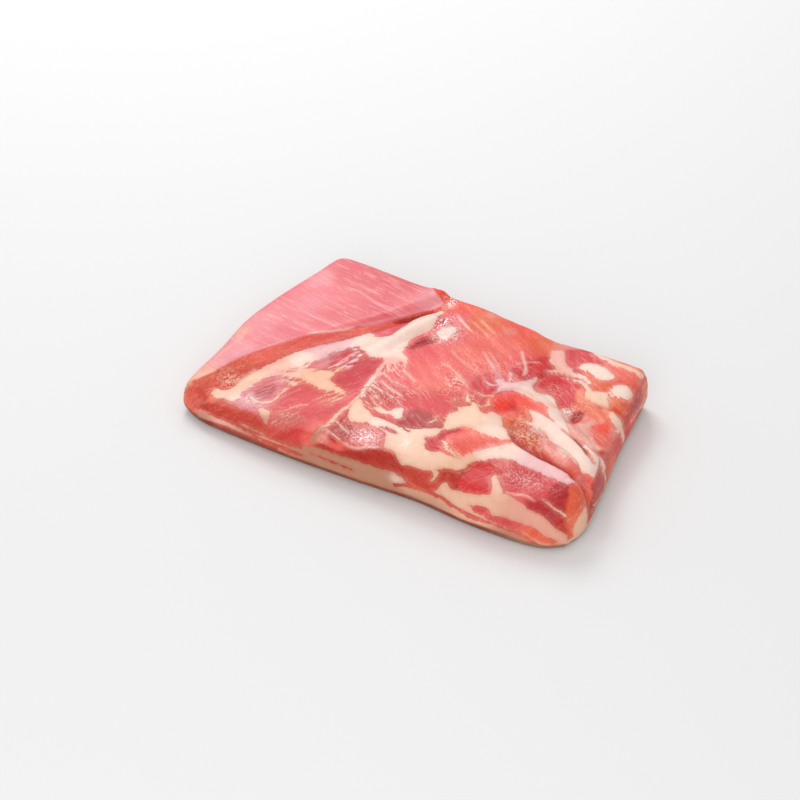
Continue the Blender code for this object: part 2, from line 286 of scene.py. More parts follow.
# Narrow lines: what, route, half widths from start to end
LINES = [
    # Bits of fat, and the crease beside the strip, that later lines cross
    ("fat", [(72, 12), (77, 11), (82, 9)], [0.8, 1.6, 1]),
    ("fat", [(-80, -16), (-75, -17), (-69, -16)], [1, 1.5, 1]),
    ("fat", [(-59, 31), (-53, 30), (-48, 33)], [1, 1.6, 1]),
    ("fat", [(-103, -26), (-100, -16), (-97, -9)], [1, 1.2, 0.8]),
    ("lean", [(105, 10), (109, 7.8), (114, 4.4), (118, 0)], [0.4, 0.9, 0.9, 0.4]),
    # Seam
    ("fat", [
        (-34, -60), (-33, -49), (-31, -39), (-30, -29), (-28, -21), (-27, -14), (-26, -8), (-27, -1),
        (-27, 8), (-26, 17), (-26, 26),
    ], [1.8, 1.3, 1.3, 2, 2.4]),
    # Veins and fringes of the flat muscle
    ("fat", [
        (-88, -39), (-82, -42), (-76, -41), (-72, -37), (-71, -28), (-70, -14),
    ], [0.9, 1.1, 1.2, 0.8, 0.4]),
    ("fat", [(-74, -48), (-71, -50), (-67, -57)], [2.4, 3.6, 1.2]),
    ("fat", [(-73, -30), (-70, -20), (-65, -10)], [0.3, 0.7, 0.6]),
    ("fat", [(-62, -44), (-64, -50), (-67, -57)], [0.3, 0.5, 0.4]),
    ("fat", [(-58, -45), (-60, -50), (-64, -58)], [0.2, 0.5, 0.4]),
    ("fat", [(-54, -42), (-56, -49), (-60, -57)], [0.4, 0.6, 0.4]),
    ("fat", [(-50, -43), (-52, -49), (-56, -57)], [0.3, 0.5, 0.3]),
    ("fat", [(-47, -46), (-49, -51), (-52, -56)], [0.3, 0.5, 0.3]),
    ("fat", [(-43, -14), (-46, -20), (-49, -25)], [0.6, 0.8, 0.3]),
    ("fat", [(-38, -14), (-41, -20), (-45, -26)], [0.5, 0.7, 0.3]),
    ("fat", [(-34, -13), (-37, -19), (-41, -25)], [0.5, 0.7, 0.3]),
    # Gaps in the band below the step
    ("lean", [(-70, 4), (-68, 9), (-63, 7)], [1, 1.4, 0.8]),
    ("lean", [(-86, -11), (-80, -8), (-76, -5)], [0.3, 0.6, 0.3]),
    ("lean", [(-80, -5), (-75, 0), (-73, 6)], [0.3, 0.5, 0.3]),
    ("lean", [(-73, -1), (-69, 2), (-65, 2)], [0.3, 0.6, 0.3]),
    ("lean", [(-56, 28), (-52, 32), (-50, 31)], [0.5, 1.2, 0.5]),
    ("lean", [(-68, 14), (-62, 21), (-57, 27)], [0.3, 0.7, 0.4]),
    # Threads across the muscle left of the seam
    ("fat", [(-52, 4), (-48, 14), (-45, 26)], [0.8, 0.9, 1.2]),
    ("fat", [(-60, 2), (-55, 11), (-51, 22), (-48, 28)], [0.9, 1, 0.7]),
    ("fat", [(-57, -2), (-52, 8), (-48, 18), (-45, 25)], [1.2, 1, 0.5]),
    # Branches of the seam
    ("fat", [(-24, 3), (-16, 0), (-9, -2), (-2, -5)], [0.8, 0.6, 0.3]),
    ("fat", [(-26, 17), (-19, 13), (-15, 11), (-6, 10), (-3, 8)], [1.4, 1.1, 0.5, 0.3]),
    ("fat", [(-23, 0), (-17, -6), (-11, -11)], [0.9, 0.6, 0.3]),
    ("fat", [(-23, -12), (-15, -17), (-9, -17), (-3, -16), (0, -13)], [0.5, 0.9, 1.2, 1.2]),
    # Edges of the far right block
    ("fat", [(79, 91), (86, 90), (95, 88), (106, 87), (113, 84), (116, 78)], [0.6, 1.5, 1.8, 1.9, 1.6, 0.8]),
    ("fat", [(64, 62.5), (70, 65.5), (76, 66.5), (83, 66.5), (90, 63)], [1, 1.7, 2.1, 2.1, 1.2]),
    ("fat", [(73, 61), (79, 62), (85, 62), (92, 57)], [0.4, 1, 1.4, 1.6]),
    # Fingers of the hand and of the field
    ("fat", [(46, 41), (40, 45), (36, 51)], [0.9, 0.6, 0.2]),
    ("fat", [(50, 41), (48, 47), (45, 52)], [0.9, 0.6, 0.2]),
    ("fat", [(44, 34), (40, 34), (36, 38)], [0.9, 0.7, 0.2]),
    ("fat", [(46, 24), (42, 22), (38, 24)], [0.8, 0.6, 0.2]),
    ("fat", [(35, 5), (31, 8), (28, 13)], [1.4, 1, 0.4]),
    ("fat", [(38, 12), (35, 16), (32, 22)], [1.4, 1, 0.3]),
    ("fat", [(24, -14), (26, -11), (25, -7)], [1.2, 0.9, 0.4]),
    ("fat", [(48, 16), (45, 12), (42, 16)], [0.9, 0.6, 0.3]),
    # Strip and crest at the right
    ("fat", [(112, 43), (117, 37), (119.5, 33), (121, 29), (122, 24)], [1.4, 2.2, 2.4, 2.4, 2]),
    ("fat", [(114, 7), (121, 1.5), (125, -3), (127, -8)], [0.9, 1.5, 1.5, 1.1]),
    ("fat", [
        (110, -47), (115, -49), (119, -51), (123, -52), (126, -54), (128, -58), (129, -62),
    ], [0.5, 1.1, 0.8, 0.8]),
    # Round the red patch, and at the foot of the front roll
    ("fat", [(40, -27), (43, -28), (44, -31), (47, -33), (54, -33)], [0.6, 1.4, 1.2, 0.8, 0.4]),
    ("lean", [(42, -35.5), (48, -35.5), (54, -36)], [0.4, 0.9, 0.3]),
    ("fat", [(46, -53), (46, -57), (44, -60)], [1.6, 0.9, 0.4]),
    # Painted highlight on the back fat, drawn as a line of fat
    ("fat", [(15, -63), (22, -65.5), (29, -68.5)], [0.8, 2, 1]),
    # Notches in the fat
    ("lean", [(-67, 2), (-63, 8), (-59, 14), (-54, 20)], [0.5, 1.3, 0.9]),
    ("lean", [(-65, -1), (-60, 6), (-57, 12)], [0.3, 1, 0.6]),
    ("lean", [(-109, -52), (-103, -50), (-96, -51)], [0.5, 0.9, 0.4]),
    ("lean", [(-18, 28), (-16, 23)], [1.3, 1]),
    ("lean", [(-14, 33), (-10, 28)], [1.6, 1.4]),
    ("lean", [(-22, 25), (-21, 20)], [0.9, 0.7]),
    ("lean", [(-26, 22), (-25, 17)], [0.6, 0.5]),
    ("fat", [(-14, 27), (-11, 22), (-7, 19)], [1.4, 1, 0.4]),
    ("fat", [(-18, 22), (-14, 18), (-10, 17)], [1.3, 1, 0.5]),
    ("lean", [(-1, -31), (6, -31), (11, -32)], [0.5, 1.6, 0.5]),
    ("lean", [(14, -27), (17, -27)], [0.8, 0.8]),
    # Streaks in the back fat
    ("lean", [
        (21, -72), (31, -69), (40, -69), (52, -70), (58, -73), (66, -75), (73, -76), (80, -76),
    ], [1.2, 1.6, 1.5, 1.4, 1.3, 0.7]),
    ("lean", [(65, -76), (74, -78), (85, -77), (93, -78), (103, -77)], [0.5, 0.8, 0.6]),
    ("lean", [(101, -79), (107, -79), (114, -82)], [0.6, 1.4, 1]),
    ("lean", [(-112, -70), (-96, -70.5), (-84, -72), (-70, -73), (-58, -74)], [0.9, 1.6, 1.8, 1]),
    ("lean", [(-76, -69), (-64, -71), (-50, -72), (-40, -73)], [0.4, 1.2, 1.5, 0.8]),
    ("lean", [(-34, -69), (-20, -70), (-6, -71)], [0.8, 0.7, 0.3]),
    ("fat", [(-84, -64), (-77, -65), (-68, -66)], [0.4, 1, 0.4]),
    # Where the field meets the middle muscle
    ("lean", [(28, 6), (33, 9), (38, 11)], [1.6, 3, 1.6]),
    # Last bits at the left
    ("lean", [(-62, 3), (-58, 5), (-54, 5)], [0.8, 1.4, 0.8]),
    ("fat", [(-38, -69), (-31, -68), (-22, -67)], [0.8, 1.2, 0.8]),
]

# Soft spots of colour, by tint: x, rise, radius
LEAN_SPOTS = {
    "flat": [(-55, -28, 24), (-42, -36, 8), (-46, -20, 14), (-12, -4, 11), (72, 82, 7)],
    "deep": [(-50, -46, 12), (-40, 8, 14), (40, 34, 8), (4, -4, 6), (53, 20, 8), (76, 50, 10)],
    "roll": [(-66, -56, 12), (-4, -44, 10), (92, -36, 14), (110, -34, 9), (90, -72, 14)],
    "salmon": [
        (-37, -46, 6), (4, 26, 16), (16, 50, 18), (24, 74, 10), (34, 66, 14), (98, -8, 7), (74, 27, 6),
        (106, 78, 8), (-19, -56, 4), (51, 14, 4), (-38, -59, 4), (52, -24, 9),
    ],
    "sheen": [(-84, -36, 12)],
    "rose": [
        (-33, -16, 5), (-14, 14, 14), (-6, 44, 14), (-12, 86, 7), (46, 66, 8), (20, 34, 10), (-6, 66, 10),
    ],
    "wine": [(-56, 20, 8)],
    "orange": [
        (8, 92, 10), (46, 84, 10), (72, 12, 9), (118, -20, 9), (96, 64, 8), (104, -12, 4), (127, -40, 5),
        (36, -66, 4), (-122, -50, 5), (108, -78, 6),
    ],
    "coral": [(36, 90, 9), (-14, 100, 9)],
    "dusk": [(56, 62, 8), (-22, -45, 7), (119, -38, 6)],
    "brick": [(16, 6, 8), (128, -64, 5), (36, -60, 10), (-84, -57, 12), (-60, -70, 12)],
    "veiled": [
        (-29, -54, 4), (60, 90, 6), (100, 26, 8), (107, 20, 8), (68, 60, 4), (76, 61, 4), (126, -8, 4),
        (69, 42, 4), (80, -28, 4), (13, -48, 4), (95, -14, 3), (64, 32, 4), (8, 99, 4), (28, 87, 4),
        (-111, -57, 4), (-100, -51, 5), (-130, -48, 4),
    ],
    "rust": [(84, -6, 5), (62, -52, 9), (10, -57, 16), (-116, -53, 4)],
    "apricot": [(110, 52, 8), (104, 40, 8), (118, 8, 7)],
    # The blush spot at (-21, 96) is a painted highlight near the far edge
    "blush": [(90, 29, 3), (-21, 96, 3)],
    "scarlet": [(66, -38, 6)],
    "garnet": [(114, -56, 8)],
    "crimson": [(34, -27, 6)],
}
SHEET_SPOTS = {
    "sheet": [(-90, 40, 40), (-78, 78, 14), (-42, 86, 10)],
    "sheet_pale": [(-112, 30, 14), (-96, 58, 10), (-104, 84, 8), (-116, -4, 12), (-34, 92, 7)],
    "sheet_deep": [(-78, 52, 14), (-60, 70, 14), (-66, 92, 16), (-98, 28, 10), (-84, 96, 12)],
    "sheet_rim": [(-123, 14, 5), (-124, -34, 6)],
}
FAT_SPOTS = {
    "cream": [
        (-96, -24, 18), (-20, -25, 9), (28, -42, 14), (20, -36, 8), (48, 0, 14), (100, 52, 8), (104, 88, 10),
        (80, -48, 8),
    ],
    # The milk spot at (22, -67) is a painted highlight on the back fat
    "milk": [
        (-92, -44, 6), (-76, 6, 6), (-30, 60, 16), (-38, 40, 8), (-24, 80, 8), (-28, -2, 6), (3, -26, 10),
        (14, -28, 8), (22, -67, 4), (62, 0, 8), (80, -20, 10), (68, 38, 8), (80, 34, 8), (86, 16, 12),
        (112, -2, 12), (90, 77, 10), (108, 64, 10), (-53, 31, 3),
    ],
    "peach": [(-60, -3, 8), (-50, -10, 8), (68, 8, 7), (82, -4, 7), (132, -50, 8)],
    "blush": [(-88, -12, 8), (-24, 24, 6), (6, -36, 6), (64, 72, 8), (-94, -68, 12)],
    "pearl": [(-66, 20, 9), (94, -20, 10), (112, -23, 8), (50, 40, 8)],
    "tan": [
        (16, -74, 20), (44, -80, 12), (-108, -71, 6), (-84, -77, 14), (-48, -76, 12), (-10, -78, 10),
        (100, -82, 12), (131, -64, 5),
    ],
    "layer": [(44, -64, 14), (70, -64, 18), (29, -68, 6)],
    "layer_pink": [(104, -64, 16), (120, -74, 12), (-60, -72, 10)],
}

# Muscle with an edge of its own: tint, softness of the edge, outline
MUSCLES = [
    # Beside the rope
    ("sheet_deep", 4, [
        (-60, 41), (-54, 49), (-47, 57), (-40, 65), (-35, 70), (-34, 60), (-35, 50), (-43, 46), (-53, 45),
    ]),
    # Under silverskin, with a painted sheen
    ("sheen", 8, [
        (-94, -46), (-92, -38), (-84, -33), (-77, -35), (-73, -42), (-76, -50), (-84, -52), (-90, -51),
    ]),
    ("sheen", 6, [(-92, -36), (-90, -22), (-84, -14), (-77, -14), (-74, -24), (-76, -36), (-84, -40)]),
    ("wine", 5, [(-89, -34), (-86, -27), (-80, -23), (-76, -28), (-77, -35), (-83, -38)]),
    ("wine", 3, [(-62, 2), (-62, 8), (-58, 16), (-55, 26), (-51, 26), (-54, 14), (-57, 6)]),
    # Near left edge and left tip
    ("brick", 1.6, [
        (-112, -56), (-107, -50), (-104, -48), (-96, -50), (-89, -52), (-81, -52), (-76, -53), (-72, -57),
        (-66, -59), (-63, -62), (-65, -66), (-76, -66), (-92, -64), (-106, -63), (-116, -62),
    ]),
    ("orange", 2, [(-132, -66), (-128, -46), (-124, -43), (-121, -48), (-119, -58), (-120, -70)]),
    # Painted shade in the fold at the left tip
    ("umber_shade", 3, [(-123, -45), (-119, -42), (-117, -49), (-115, -56), (-115, -63), (-119, -62), (-121, -54)]),
    ("orange", 3, [(-113, -49), (-111, -44), (-107, -47), (-106, -51), (-110, -55)]),
    # Left of the seam
    ("crimson", 2, [(-60, 15), (-58, 22), (-55, 27), (-50, 26), (-50, 20), (-52, 13), (-55, 7)]),
    ("sheen", 4, [(-70, 4), (-66, 12), (-62, 14), (-60, 8), (-64, 2)]),
    ("crimson", 2.5, [
        (-51, -4), (-51, 1), (-48, 8), (-46, 17), (-46, 23), (-45, 28), (-39, 25), (-31, 27), (-30, 18),
        (-32, 8), (-36, 0), (-40, -6), (-44, -6),
    ]),
    # Crevice under the rope, its dark red partly painted shade
    ("rust", 2, [(-23, 48), (-21, 54), (-17, 58), (-11, 60), (-9, 57), (-13, 53), (-18, 48)]),
    ("garnet", 4, [(-23, 45), (-21, 56), (-15, 62), (-10, 61), (-12, 54), (-17, 45)]),
    # Low end of the middle muscle
    ("flat", 8, [
        (2, -20), (0, -8), (4, 6), (16, 14), (28, 18), (36, 14), (38, 6), (33, -2), (26, -8), (16, -12),
    ]),
    ("dusk", 4, [
        (9, -24), (6, -16), (8, -9), (11, -6), (17, -6), (22, -6), (25, -9), (24, -14), (28, -10), (33, -12),
        (33, -17), (27, -20), (18, -23),
    ]),
    ("brick", 4, [(26, 13), (32, 12), (38, 11), (37, 6), (31, 3)]),
    ("deep", 6, [(-25, -12), (-14, -16), (-4, -14), (2, -8), (2, 2), (-6, 6), (-14, 6), (-24, 6)]),
    # Near face under the field of fat
    ("rust", 1.6, [
        (-34, -63), (-29, -59), (-19, -61), (-12, -59), (-5, -55), (0, -52), (8, -49), (15, -49), (19, -51),
        (23, -55), (28, -58), (28, -63), (30, -68), (22, -66), (14, -63), (-2, -64), (-24, -63),
    ]),
    ("brick", 1.6, [
        (25, -57), (30, -54), (39, -52), (44, -52), (47, -57), (51, -61), (48, -65), (40, -68), (31, -69),
        (26, -62),
    ]),
    # Red patch in the field
    ("crimson", 1.2, [
        (34, -40), (28, -30), (28, -23), (33, -17), (41, -12), (46, -13), (40, -20), (40, -27), (41, -34),
        (40, -40),
    ]),
    ("salmon", 4, [
        (42, -26), (46, -14), (56, -10), (70, -9), (82, -6), (74, -16), (62, -27), (54, -35), (46, -34),
    ]),
    ("veiled", 3, [(60, -26), (64, -18), (74, -12), (80, -8), (72, -18), (62, -28)]),
    # Front roll, from its foot to its cut end
    ("rust", 1.4, [
        (46, -58), (46, -53), (48, -49), (55, -46), (60, -44), (60, -38), (64, -34), (66, -44), (62, -54),
        (60, -61), (55, -58),
    ]),
    ("deep", 2.5, [
        (60, -56), (62, -46), (63, -36), (66, -32), (73, -30), (75, -36), (75, -43), (77, -50), (80, -56),
        (74, -59), (66, -61),
    ]),
    ("garnet", 2, [
        (103, -56), (104, -51), (109, -49), (116, -52), (123, -54), (127, -59), (126, -66), (121, -65),
        (114, -60), (107, -58),
    ]),
    ("dusk", 4, [(113, -46), (112, -38), (114, -31), (119, -29), (123, -34), (123, -42), (122, -49)]),
    ("orange", 2, [
        (121, -27), (122, -25), (126, -31), (129, -38), (130, -46), (129, -56), (127, -56), (125, -50),
        (124, -40), (122, -33),
    ]),
    ("rust", 2, [(122, -60), (126, -58), (129, -62), (129, -67), (125, -67), (121, -64)]),
    # Second roll, from its bright top to its rough slope
    ("scarlet", 4, [(45, 20), (47, 26), (51, 31), (57, 34), (62, 33), (60, 24), (58, 16), (51, 15)]),
    ("coral", 3, [(60, 32), (66, 34), (76, 31), (84, 29), (78, 26), (70, 24), (62, 24)]),
    ("salmon", 4, [(55, 12), (62, 18), (70, 21), (76, 17), (82, 13), (80, 6), (74, 4), (66, 8)]),
    ("ginger", 4, [
        (64, 9), (74, 6), (82, 3), (90, -4), (99, -11), (108, -16), (100, -18), (88, -14), (78, -9), (70, -2),
    ]),
    ("blush", 3, [(76, 8), (84, 9), (90, 4), (86, 2), (80, 3)]),
    ("apricot", 3, [(66, 12), (70, 20), (75, 18), (77, 12), (72, 8)]),
    ("veiled", 3, [
        (80, 8), (86, 6), (92, 1), (99, -7), (107, -13), (114, -17), (108, -17), (99, -11), (91, -5), (85, 2),
    ]),
    ("brick", 2, [
        (72, -2), (80, -4), (90, -9), (100, -13), (112, -18), (120, -22), (124, -28), (120, -27), (110, -21),
        (98, -17), (86, -13), (76, -8),
    ]),
    ("salmon", 3, [(110, -14), (118, -17), (124, -16), (128, -20), (130, -32), (126, -30), (119, -22)]),
    # Far right block and the right edge
    # Pit, its dark red partly painted shade
    ("rust", 2.5, [(94, 23), (93, 30), (94, 36), (98, 36), (99, 30), (98, 23)]),
    ("flat", 4, [
        (61, 47), (62, 54), (66, 60), (74, 63), (84, 60), (88, 54), (88, 47), (86, 38), (80, 40), (72, 45),
    ]),
    ("blush", 5, [
        (88, 24), (97, 20), (106, 14), (117, 6), (120, 10), (112, 16), (106, 22), (106, 32), (100, 26),
    ]),
    ("apricot", 4, [
        (88, 56), (92, 50), (98, 44), (106, 44), (112, 42), (106, 34), (98, 38), (90, 44), (86, 52),
    ]),
    ("salmon", 2, [(106, 26), (110, 32), (113, 38), (118, 34), (121, 26), (122, 16), (118, 12), (112, 18)]),
    ("coral", 3, [(110, 28), (112, 33), (116, 32), (116, 26), (112, 24)]),
    ("brick", 3, [(119, 8), (122, 10), (125, 4), (125, 0), (121, 4)]),
    ("roll", 4, [(60, 81), (63, 87), (71, 91), (78, 89), (79, 82), (77, 74), (72, 72), (64, 80)]),
    ("orange", 4, [(113, 74), (117, 68), (119, 56), (117, 46), (110, 44), (110, 52), (116, 58), (114, 68)]),
    # Edges of the middle muscle and of the far right block
    ("deep", 5, [(31, 28), (31, 38), (38, 41), (44, 36), (43, 27), (38, 23)]),
    ("deep", 5, [(44, 52), (50, 62), (56, 74), (62, 70), (62, 60), (58, 54), (50, 50)]),
    ("orange", 3, [(80, 67), (90, 67), (100, 66), (104, 56), (98, 60), (90, 62)]),
]

# The right end, on its own chart: (y, z)
END_PATCHES = [
    ("fat", [
        (-63, 27), (-58, 22), (-57, 17), (-60, 12), (-61, 6), (-68, 4), (-72, 5), (-73, 11), (-72, 15),
        (-69, 18), (-66, 22),
    ]),
    ("fat", [
        (-76, 7), (-60, 6.5), (-40, 5.5), (-20, 4.5), (10, 4), (40, 4.5), (70, 5.5), (75, -4), (-80, -4),
    ]),
]
END_LINES = [
    ("fat", [(11, 27), (12, 22), (15, 16), (17, 10)], [2.2, 2.4, 2.4, 1.6]),
    ("fat", [(-29, 33), (-30, 30), (-27, 25), (-25, 18), (-24, 11), (-27, 7)], [0.7, 1, 1.1, 0.8]),
    ("fat", [(-52, 15), (-47, 11), (-38, 8), (-30, 6)], [0.4, 0.9, 0.9]),
    ("fat", [(30, 14), (44, 12), (56, 11), (64, 14)], [0.4, 0.8, 0.4]),
]
END_SPOTS = {
    "orange": [(-62, 28, 8), (-56, 24, 6), (-10, 12, 8), (56, 16, 7)],
    "rust": [(-50, 16, 5)],
    "dusk": [(-40, 20, 9), (44, 19, 9)],
    "wine": [(-34, 15, 6)],
    "brick": [(-20, 20, 8), (66, 10, 8), (20, 24, 8)],
    "flat": [(4, 18, 10)],
    "deep": [(22, 12, 8)],
    "scarlet": [(34, 10, 6)],
}

# Faint lines: tint, strength, route, half width
STROKES = [
    # Painted highlight on the step, and a pale line on the front roll
    ("blush", 0.8, [(-104, -33), (-101, -22), (-98, -12)], 1.2),
    ("blush", 0.7, [(86, -50), (93, -50), (100, -48), (108, -51)], 1),
    # Bands and rim of the flank muscle, and painted shade beside the rope
    ("sheet_pale", 0.9, [(-82, 84), (-72, 82), (-59, 77), (-48, 76), (-40, 73)], 1.1),
    ("sheet_pale", 1, [(-105, 52), (-91, 48), (-76, 46), (-65, 43)], 1.2),
    ("sheet_pale", 0.9, [(-100, 39), (-89, 36), (-76, 34)], 1),
    ("sheet_pale", 0.8, [(-106, 18), (-90, 16)], 1),
    ("sheet_pale", 0.7, [(-102, 68), (-89, 67), (-74, 62)], 0.9),
    ("sheet_pale", 0.7, [(-94, 92), (-77, 89), (-60, 86)], 0.9),
    ("sheet_pale", 0.6, [(-70, 103), (-56, 99), (-40, 92)], 0.9),
    ("crimson", 0.5, [(-16, 62), (-6, 70), (-6, 80)], 3),
    ("sheet_rim", 0.8, [(-125, -21), (-122, -6), (-119, 8), (-121, 24)], 1),
    ("sheet_pale", 0.8, [(-118, -22), (-114, -8), (-108, 6)], 0.9),
    ("peach", 0.8, [(-126, -40), (-122, -32), (-117, -25)], 1.8),
    ("peach", 0.7, [(-131, -62), (-129, -50), (-125, -42)], 1.8),
    # Painted highlight along the lit top edge of the step
    ("blush", 0.9, [(-84, 29), (-75, 36), (-66, 43.5), (-60, 50)], 1),
    ("sheet_pale", 1, [(-60, 50), (-52, 58), (-43, 69), (-36, 78)], 1.1),
    ("sheet_pale", 0.8, [(-112, -14), (-104, 0), (-94, 14), (-84, 27)], 1),
    # Painted shade between the sheet and the rope
    ("umber_shade", 0.5, [(-42, 66), (-36, 74), (-30, 82)], 1.6),
    # Fibres of the flat muscle
    ("sheet_pale", 0.5, [(-70, -34), (-66, -26), (-62, -18)], 0.8),
    ("sheet_pale", 0.5, [(-76, -30), (-72, -22), (-68, -14)], 0.8),
    ("blush", 0.6, [(-60, -40), (-56, -34), (-50, -30)], 0.8),
    # Torn grain at the foot of the seam
    ("garnet", 0.9, [(-31, -32), (-24, -36), (-15, -41), (-8, -44)], 1.2),
    ("garnet", 0.9, [(-30, -42), (-21, -46), (-12, -51)], 1.3),
    ("garnet", 0.8, [(-32, -50), (-25, -52), (-18, -56)], 1.1),
    ("garnet", 0.7, [(-16, -36), (-8, -36), (0, -38)], 1.2),
    ("milk", 0.7, [(-30, -36), (-22, -41), (-16, -44)], 0.6),
    ("milk", 0.7, [(-32, -46), (-24, -49), (-17, -52)], 0.6),
    ("veiled", 0.8, [(-31, -58), (-28, -52), (-28, -45)], 1.6),
    ("blush", 0.9, [(-18, -52), (-8, -54.5), (0, -50), (8, -47)], 1.5),
    # Middle muscle, from the seam to its far edge
    ("milk", 0.7, [(-22, -6), (-15, -12), (-8, -15)], 0.8),
    ("milk", 0.6, [(-24, 10), (-16, 6), (-8, 3), (0, 0)], 0.9),
    ("peach", 0.9, [(8, 41), (15, 37), (23, 32), (29, 26)], 0.5),
    ("blush", 0.8, [(25, 64), (33, 57), (39, 52)], 0.6),
    ("milk", 0.6, [(-14, 24), (-6, 20), (0, 16)], 0.9),
    ("milk", 0.8, [(-12, 89), (-5, 84), (1, 80), (9, 75)], 0.6),
    ("milk", 0.7, [(-9, 86), (-2, 82), (5, 78)], 0.5),
    ("milk", 0.8, [(-17, 83), (-12, 78), (-6, 74)], 0.8),
    ("milk", 0.6, [(-16, 74), (-9, 68), (-3, 60)], 1),
    ("peach", 0.5, [(2, 92), (12, 86), (22, 80)], 0.9),
    ("peach", 0.5, [(0, 88), (10, 82), (20, 75)], 0.8),
    ("crimson", 0.6, [(-20, 84), (-14, 80), (-8, 82)], 3),
    ("blush", 0.5, [(4, 55), (12, 49), (22, 44)], 0.9),
    ("blush", 0.6, [(21, 63), (28, 57), (33, 52), (39, 48)], 0.9),
    ("blush", 0.6, [(18, 36), (26, 30), (32, 24)], 0.9),
    ("milk", 0.7, [(42, 74), (47, 66), (52, 58), (54, 50)], 0.9),
    ("blush", 0.6, [(57, 68), (50, 64), (45, 58)], 0.8),
    # Second roll, and painted shade in the crease beside the strip
    ("salmon", 0.8, [(66, 32), (76, 29), (84, 28)], 1.4),
    ("peach", 0.7, [(100, 22), (108, 18), (116, 12)], 1),
    ("umber_shade", 1, [(104, 10.8), (109, 7.8), (114, 4.4), (119, -1)], 1.2),
]

# Folds: chart, route, half widths on its right and left, depth, darkness. The darkness is painted shade, with
# blood, along the fold. The plan chart is (x, y)
FOLDS = [
    # Foot of the second roll's slope
    ("plan", [
        (70, -24), (80, -28), (92, -32), (104, -37), (112, -41), (118, -46), (124, -50),
    ], 9, 6, [-1.5, -5, -7, -7, -4], 0),
    # Behind the front roll, and down the right end
    ("plan", [
        (72, -38), (79, -45), (87, -48), (95, -50), (103, -51), (111, -52.5), (118, -54), (124, -55),
        (130, -55),
    ], 1.3, 1.8, [0.4, 2.2, 3.2, 3.6, 3.6], 0.85),
    ("end", [(-44, 28), (-46, 24), (-50, 20), (-51, 15), (-48, 10)], 1.6, 1.6, [1.5, 3, 2.5, 0.5], 0.9),
    # Beside the strip
    ("top", [
        (94, 16), (101, 12), (107, 9), (114, 4), (120, -2), (125, -7),
    ], 0.9, 0.8, [0.3, 0.8, 1.3, 1, 0.3], 0.75),
    # Pit
    ("top", [(95, 22), (95, 29), (96, 36)], 2.4, 2.4, [0.6, 1.8, 0.8], 0.3),
    # Beside the rope
    ("top", [(-24, 44), (-21, 51), (-16, 56), (-8, 59)], 2.4, 2, [1, 2.6, 1], 0.4),
    # Between the rope and the sheet
    ("top", [(-44, 64), (-38, 70), (-32, 78), (-26, 88)], 1.6, 1.6, [0.4, 1.8, 2, 0.8], 0.8),
    # Left tip
    ("top", [(-121, -44), (-117, -50), (-113, -57), (-110, -64)], 2.4, 2.4, [0.6, 1.6, 1.6, 0.6], 0.4),
    # Along the near face, under the fat
    ("top", [(-30, -61), (-10, -61), (4, -56), (20, -58), (40, -62)], 3, 3, [0.6, 1.4, 1.6, 1], 0.25),
    # Along the seam
    ("top", [
        (-34, -58), (-32, -44), (-29, -26), (-26, -10), (-26, 6), (-26, 18),
    ], 1.2, 0.5, [0.4, 0.7, 0.5], 0.2),
    # Round the hand and the far right block
    ("top", [(48, 31), (56, 36), (66, 36), (76, 33), (86, 31)], 1.4, 1.4, [0.3, 0.8, 0.8, 0.4], 0.25),
    ("top", [
        (64, 43), (61, 48), (63, 56), (70, 62), (82, 64), (90, 61),
    ], 1.4, 1.4, [0.4, 0.8, 0.8, 0.4], 0.25),
    ("top", [(102, 44), (110, 47), (116, 46), (119, 42)], 1.6, 1.6, [0.4, 1, 0.8], 0.4),
]

# Swellings: x, rise, radius along x and rise, height
SWELLINGS = [
    (-28, 68, 6, 16, 1), (-40, 42, 12, 6, 0.7), (-20, -25, 8, 8, 0.8), (26, -42, 14, 8, 0.5),
    (60, 40, 14, 6, 0.7), (80, 18, 10, 6, 0.6), (88, 76, 9, 5, 0.5), (108, 64, 6, 7, 0.5),
    (100, 50, 6, 6, 0.4), (10, -24, 8, 4, 0.4), (90, -38, 20, 8, 0.5), (54, 22, 8, 9, 0.7),
    (74, 52, 11, 9, 0.5),
]
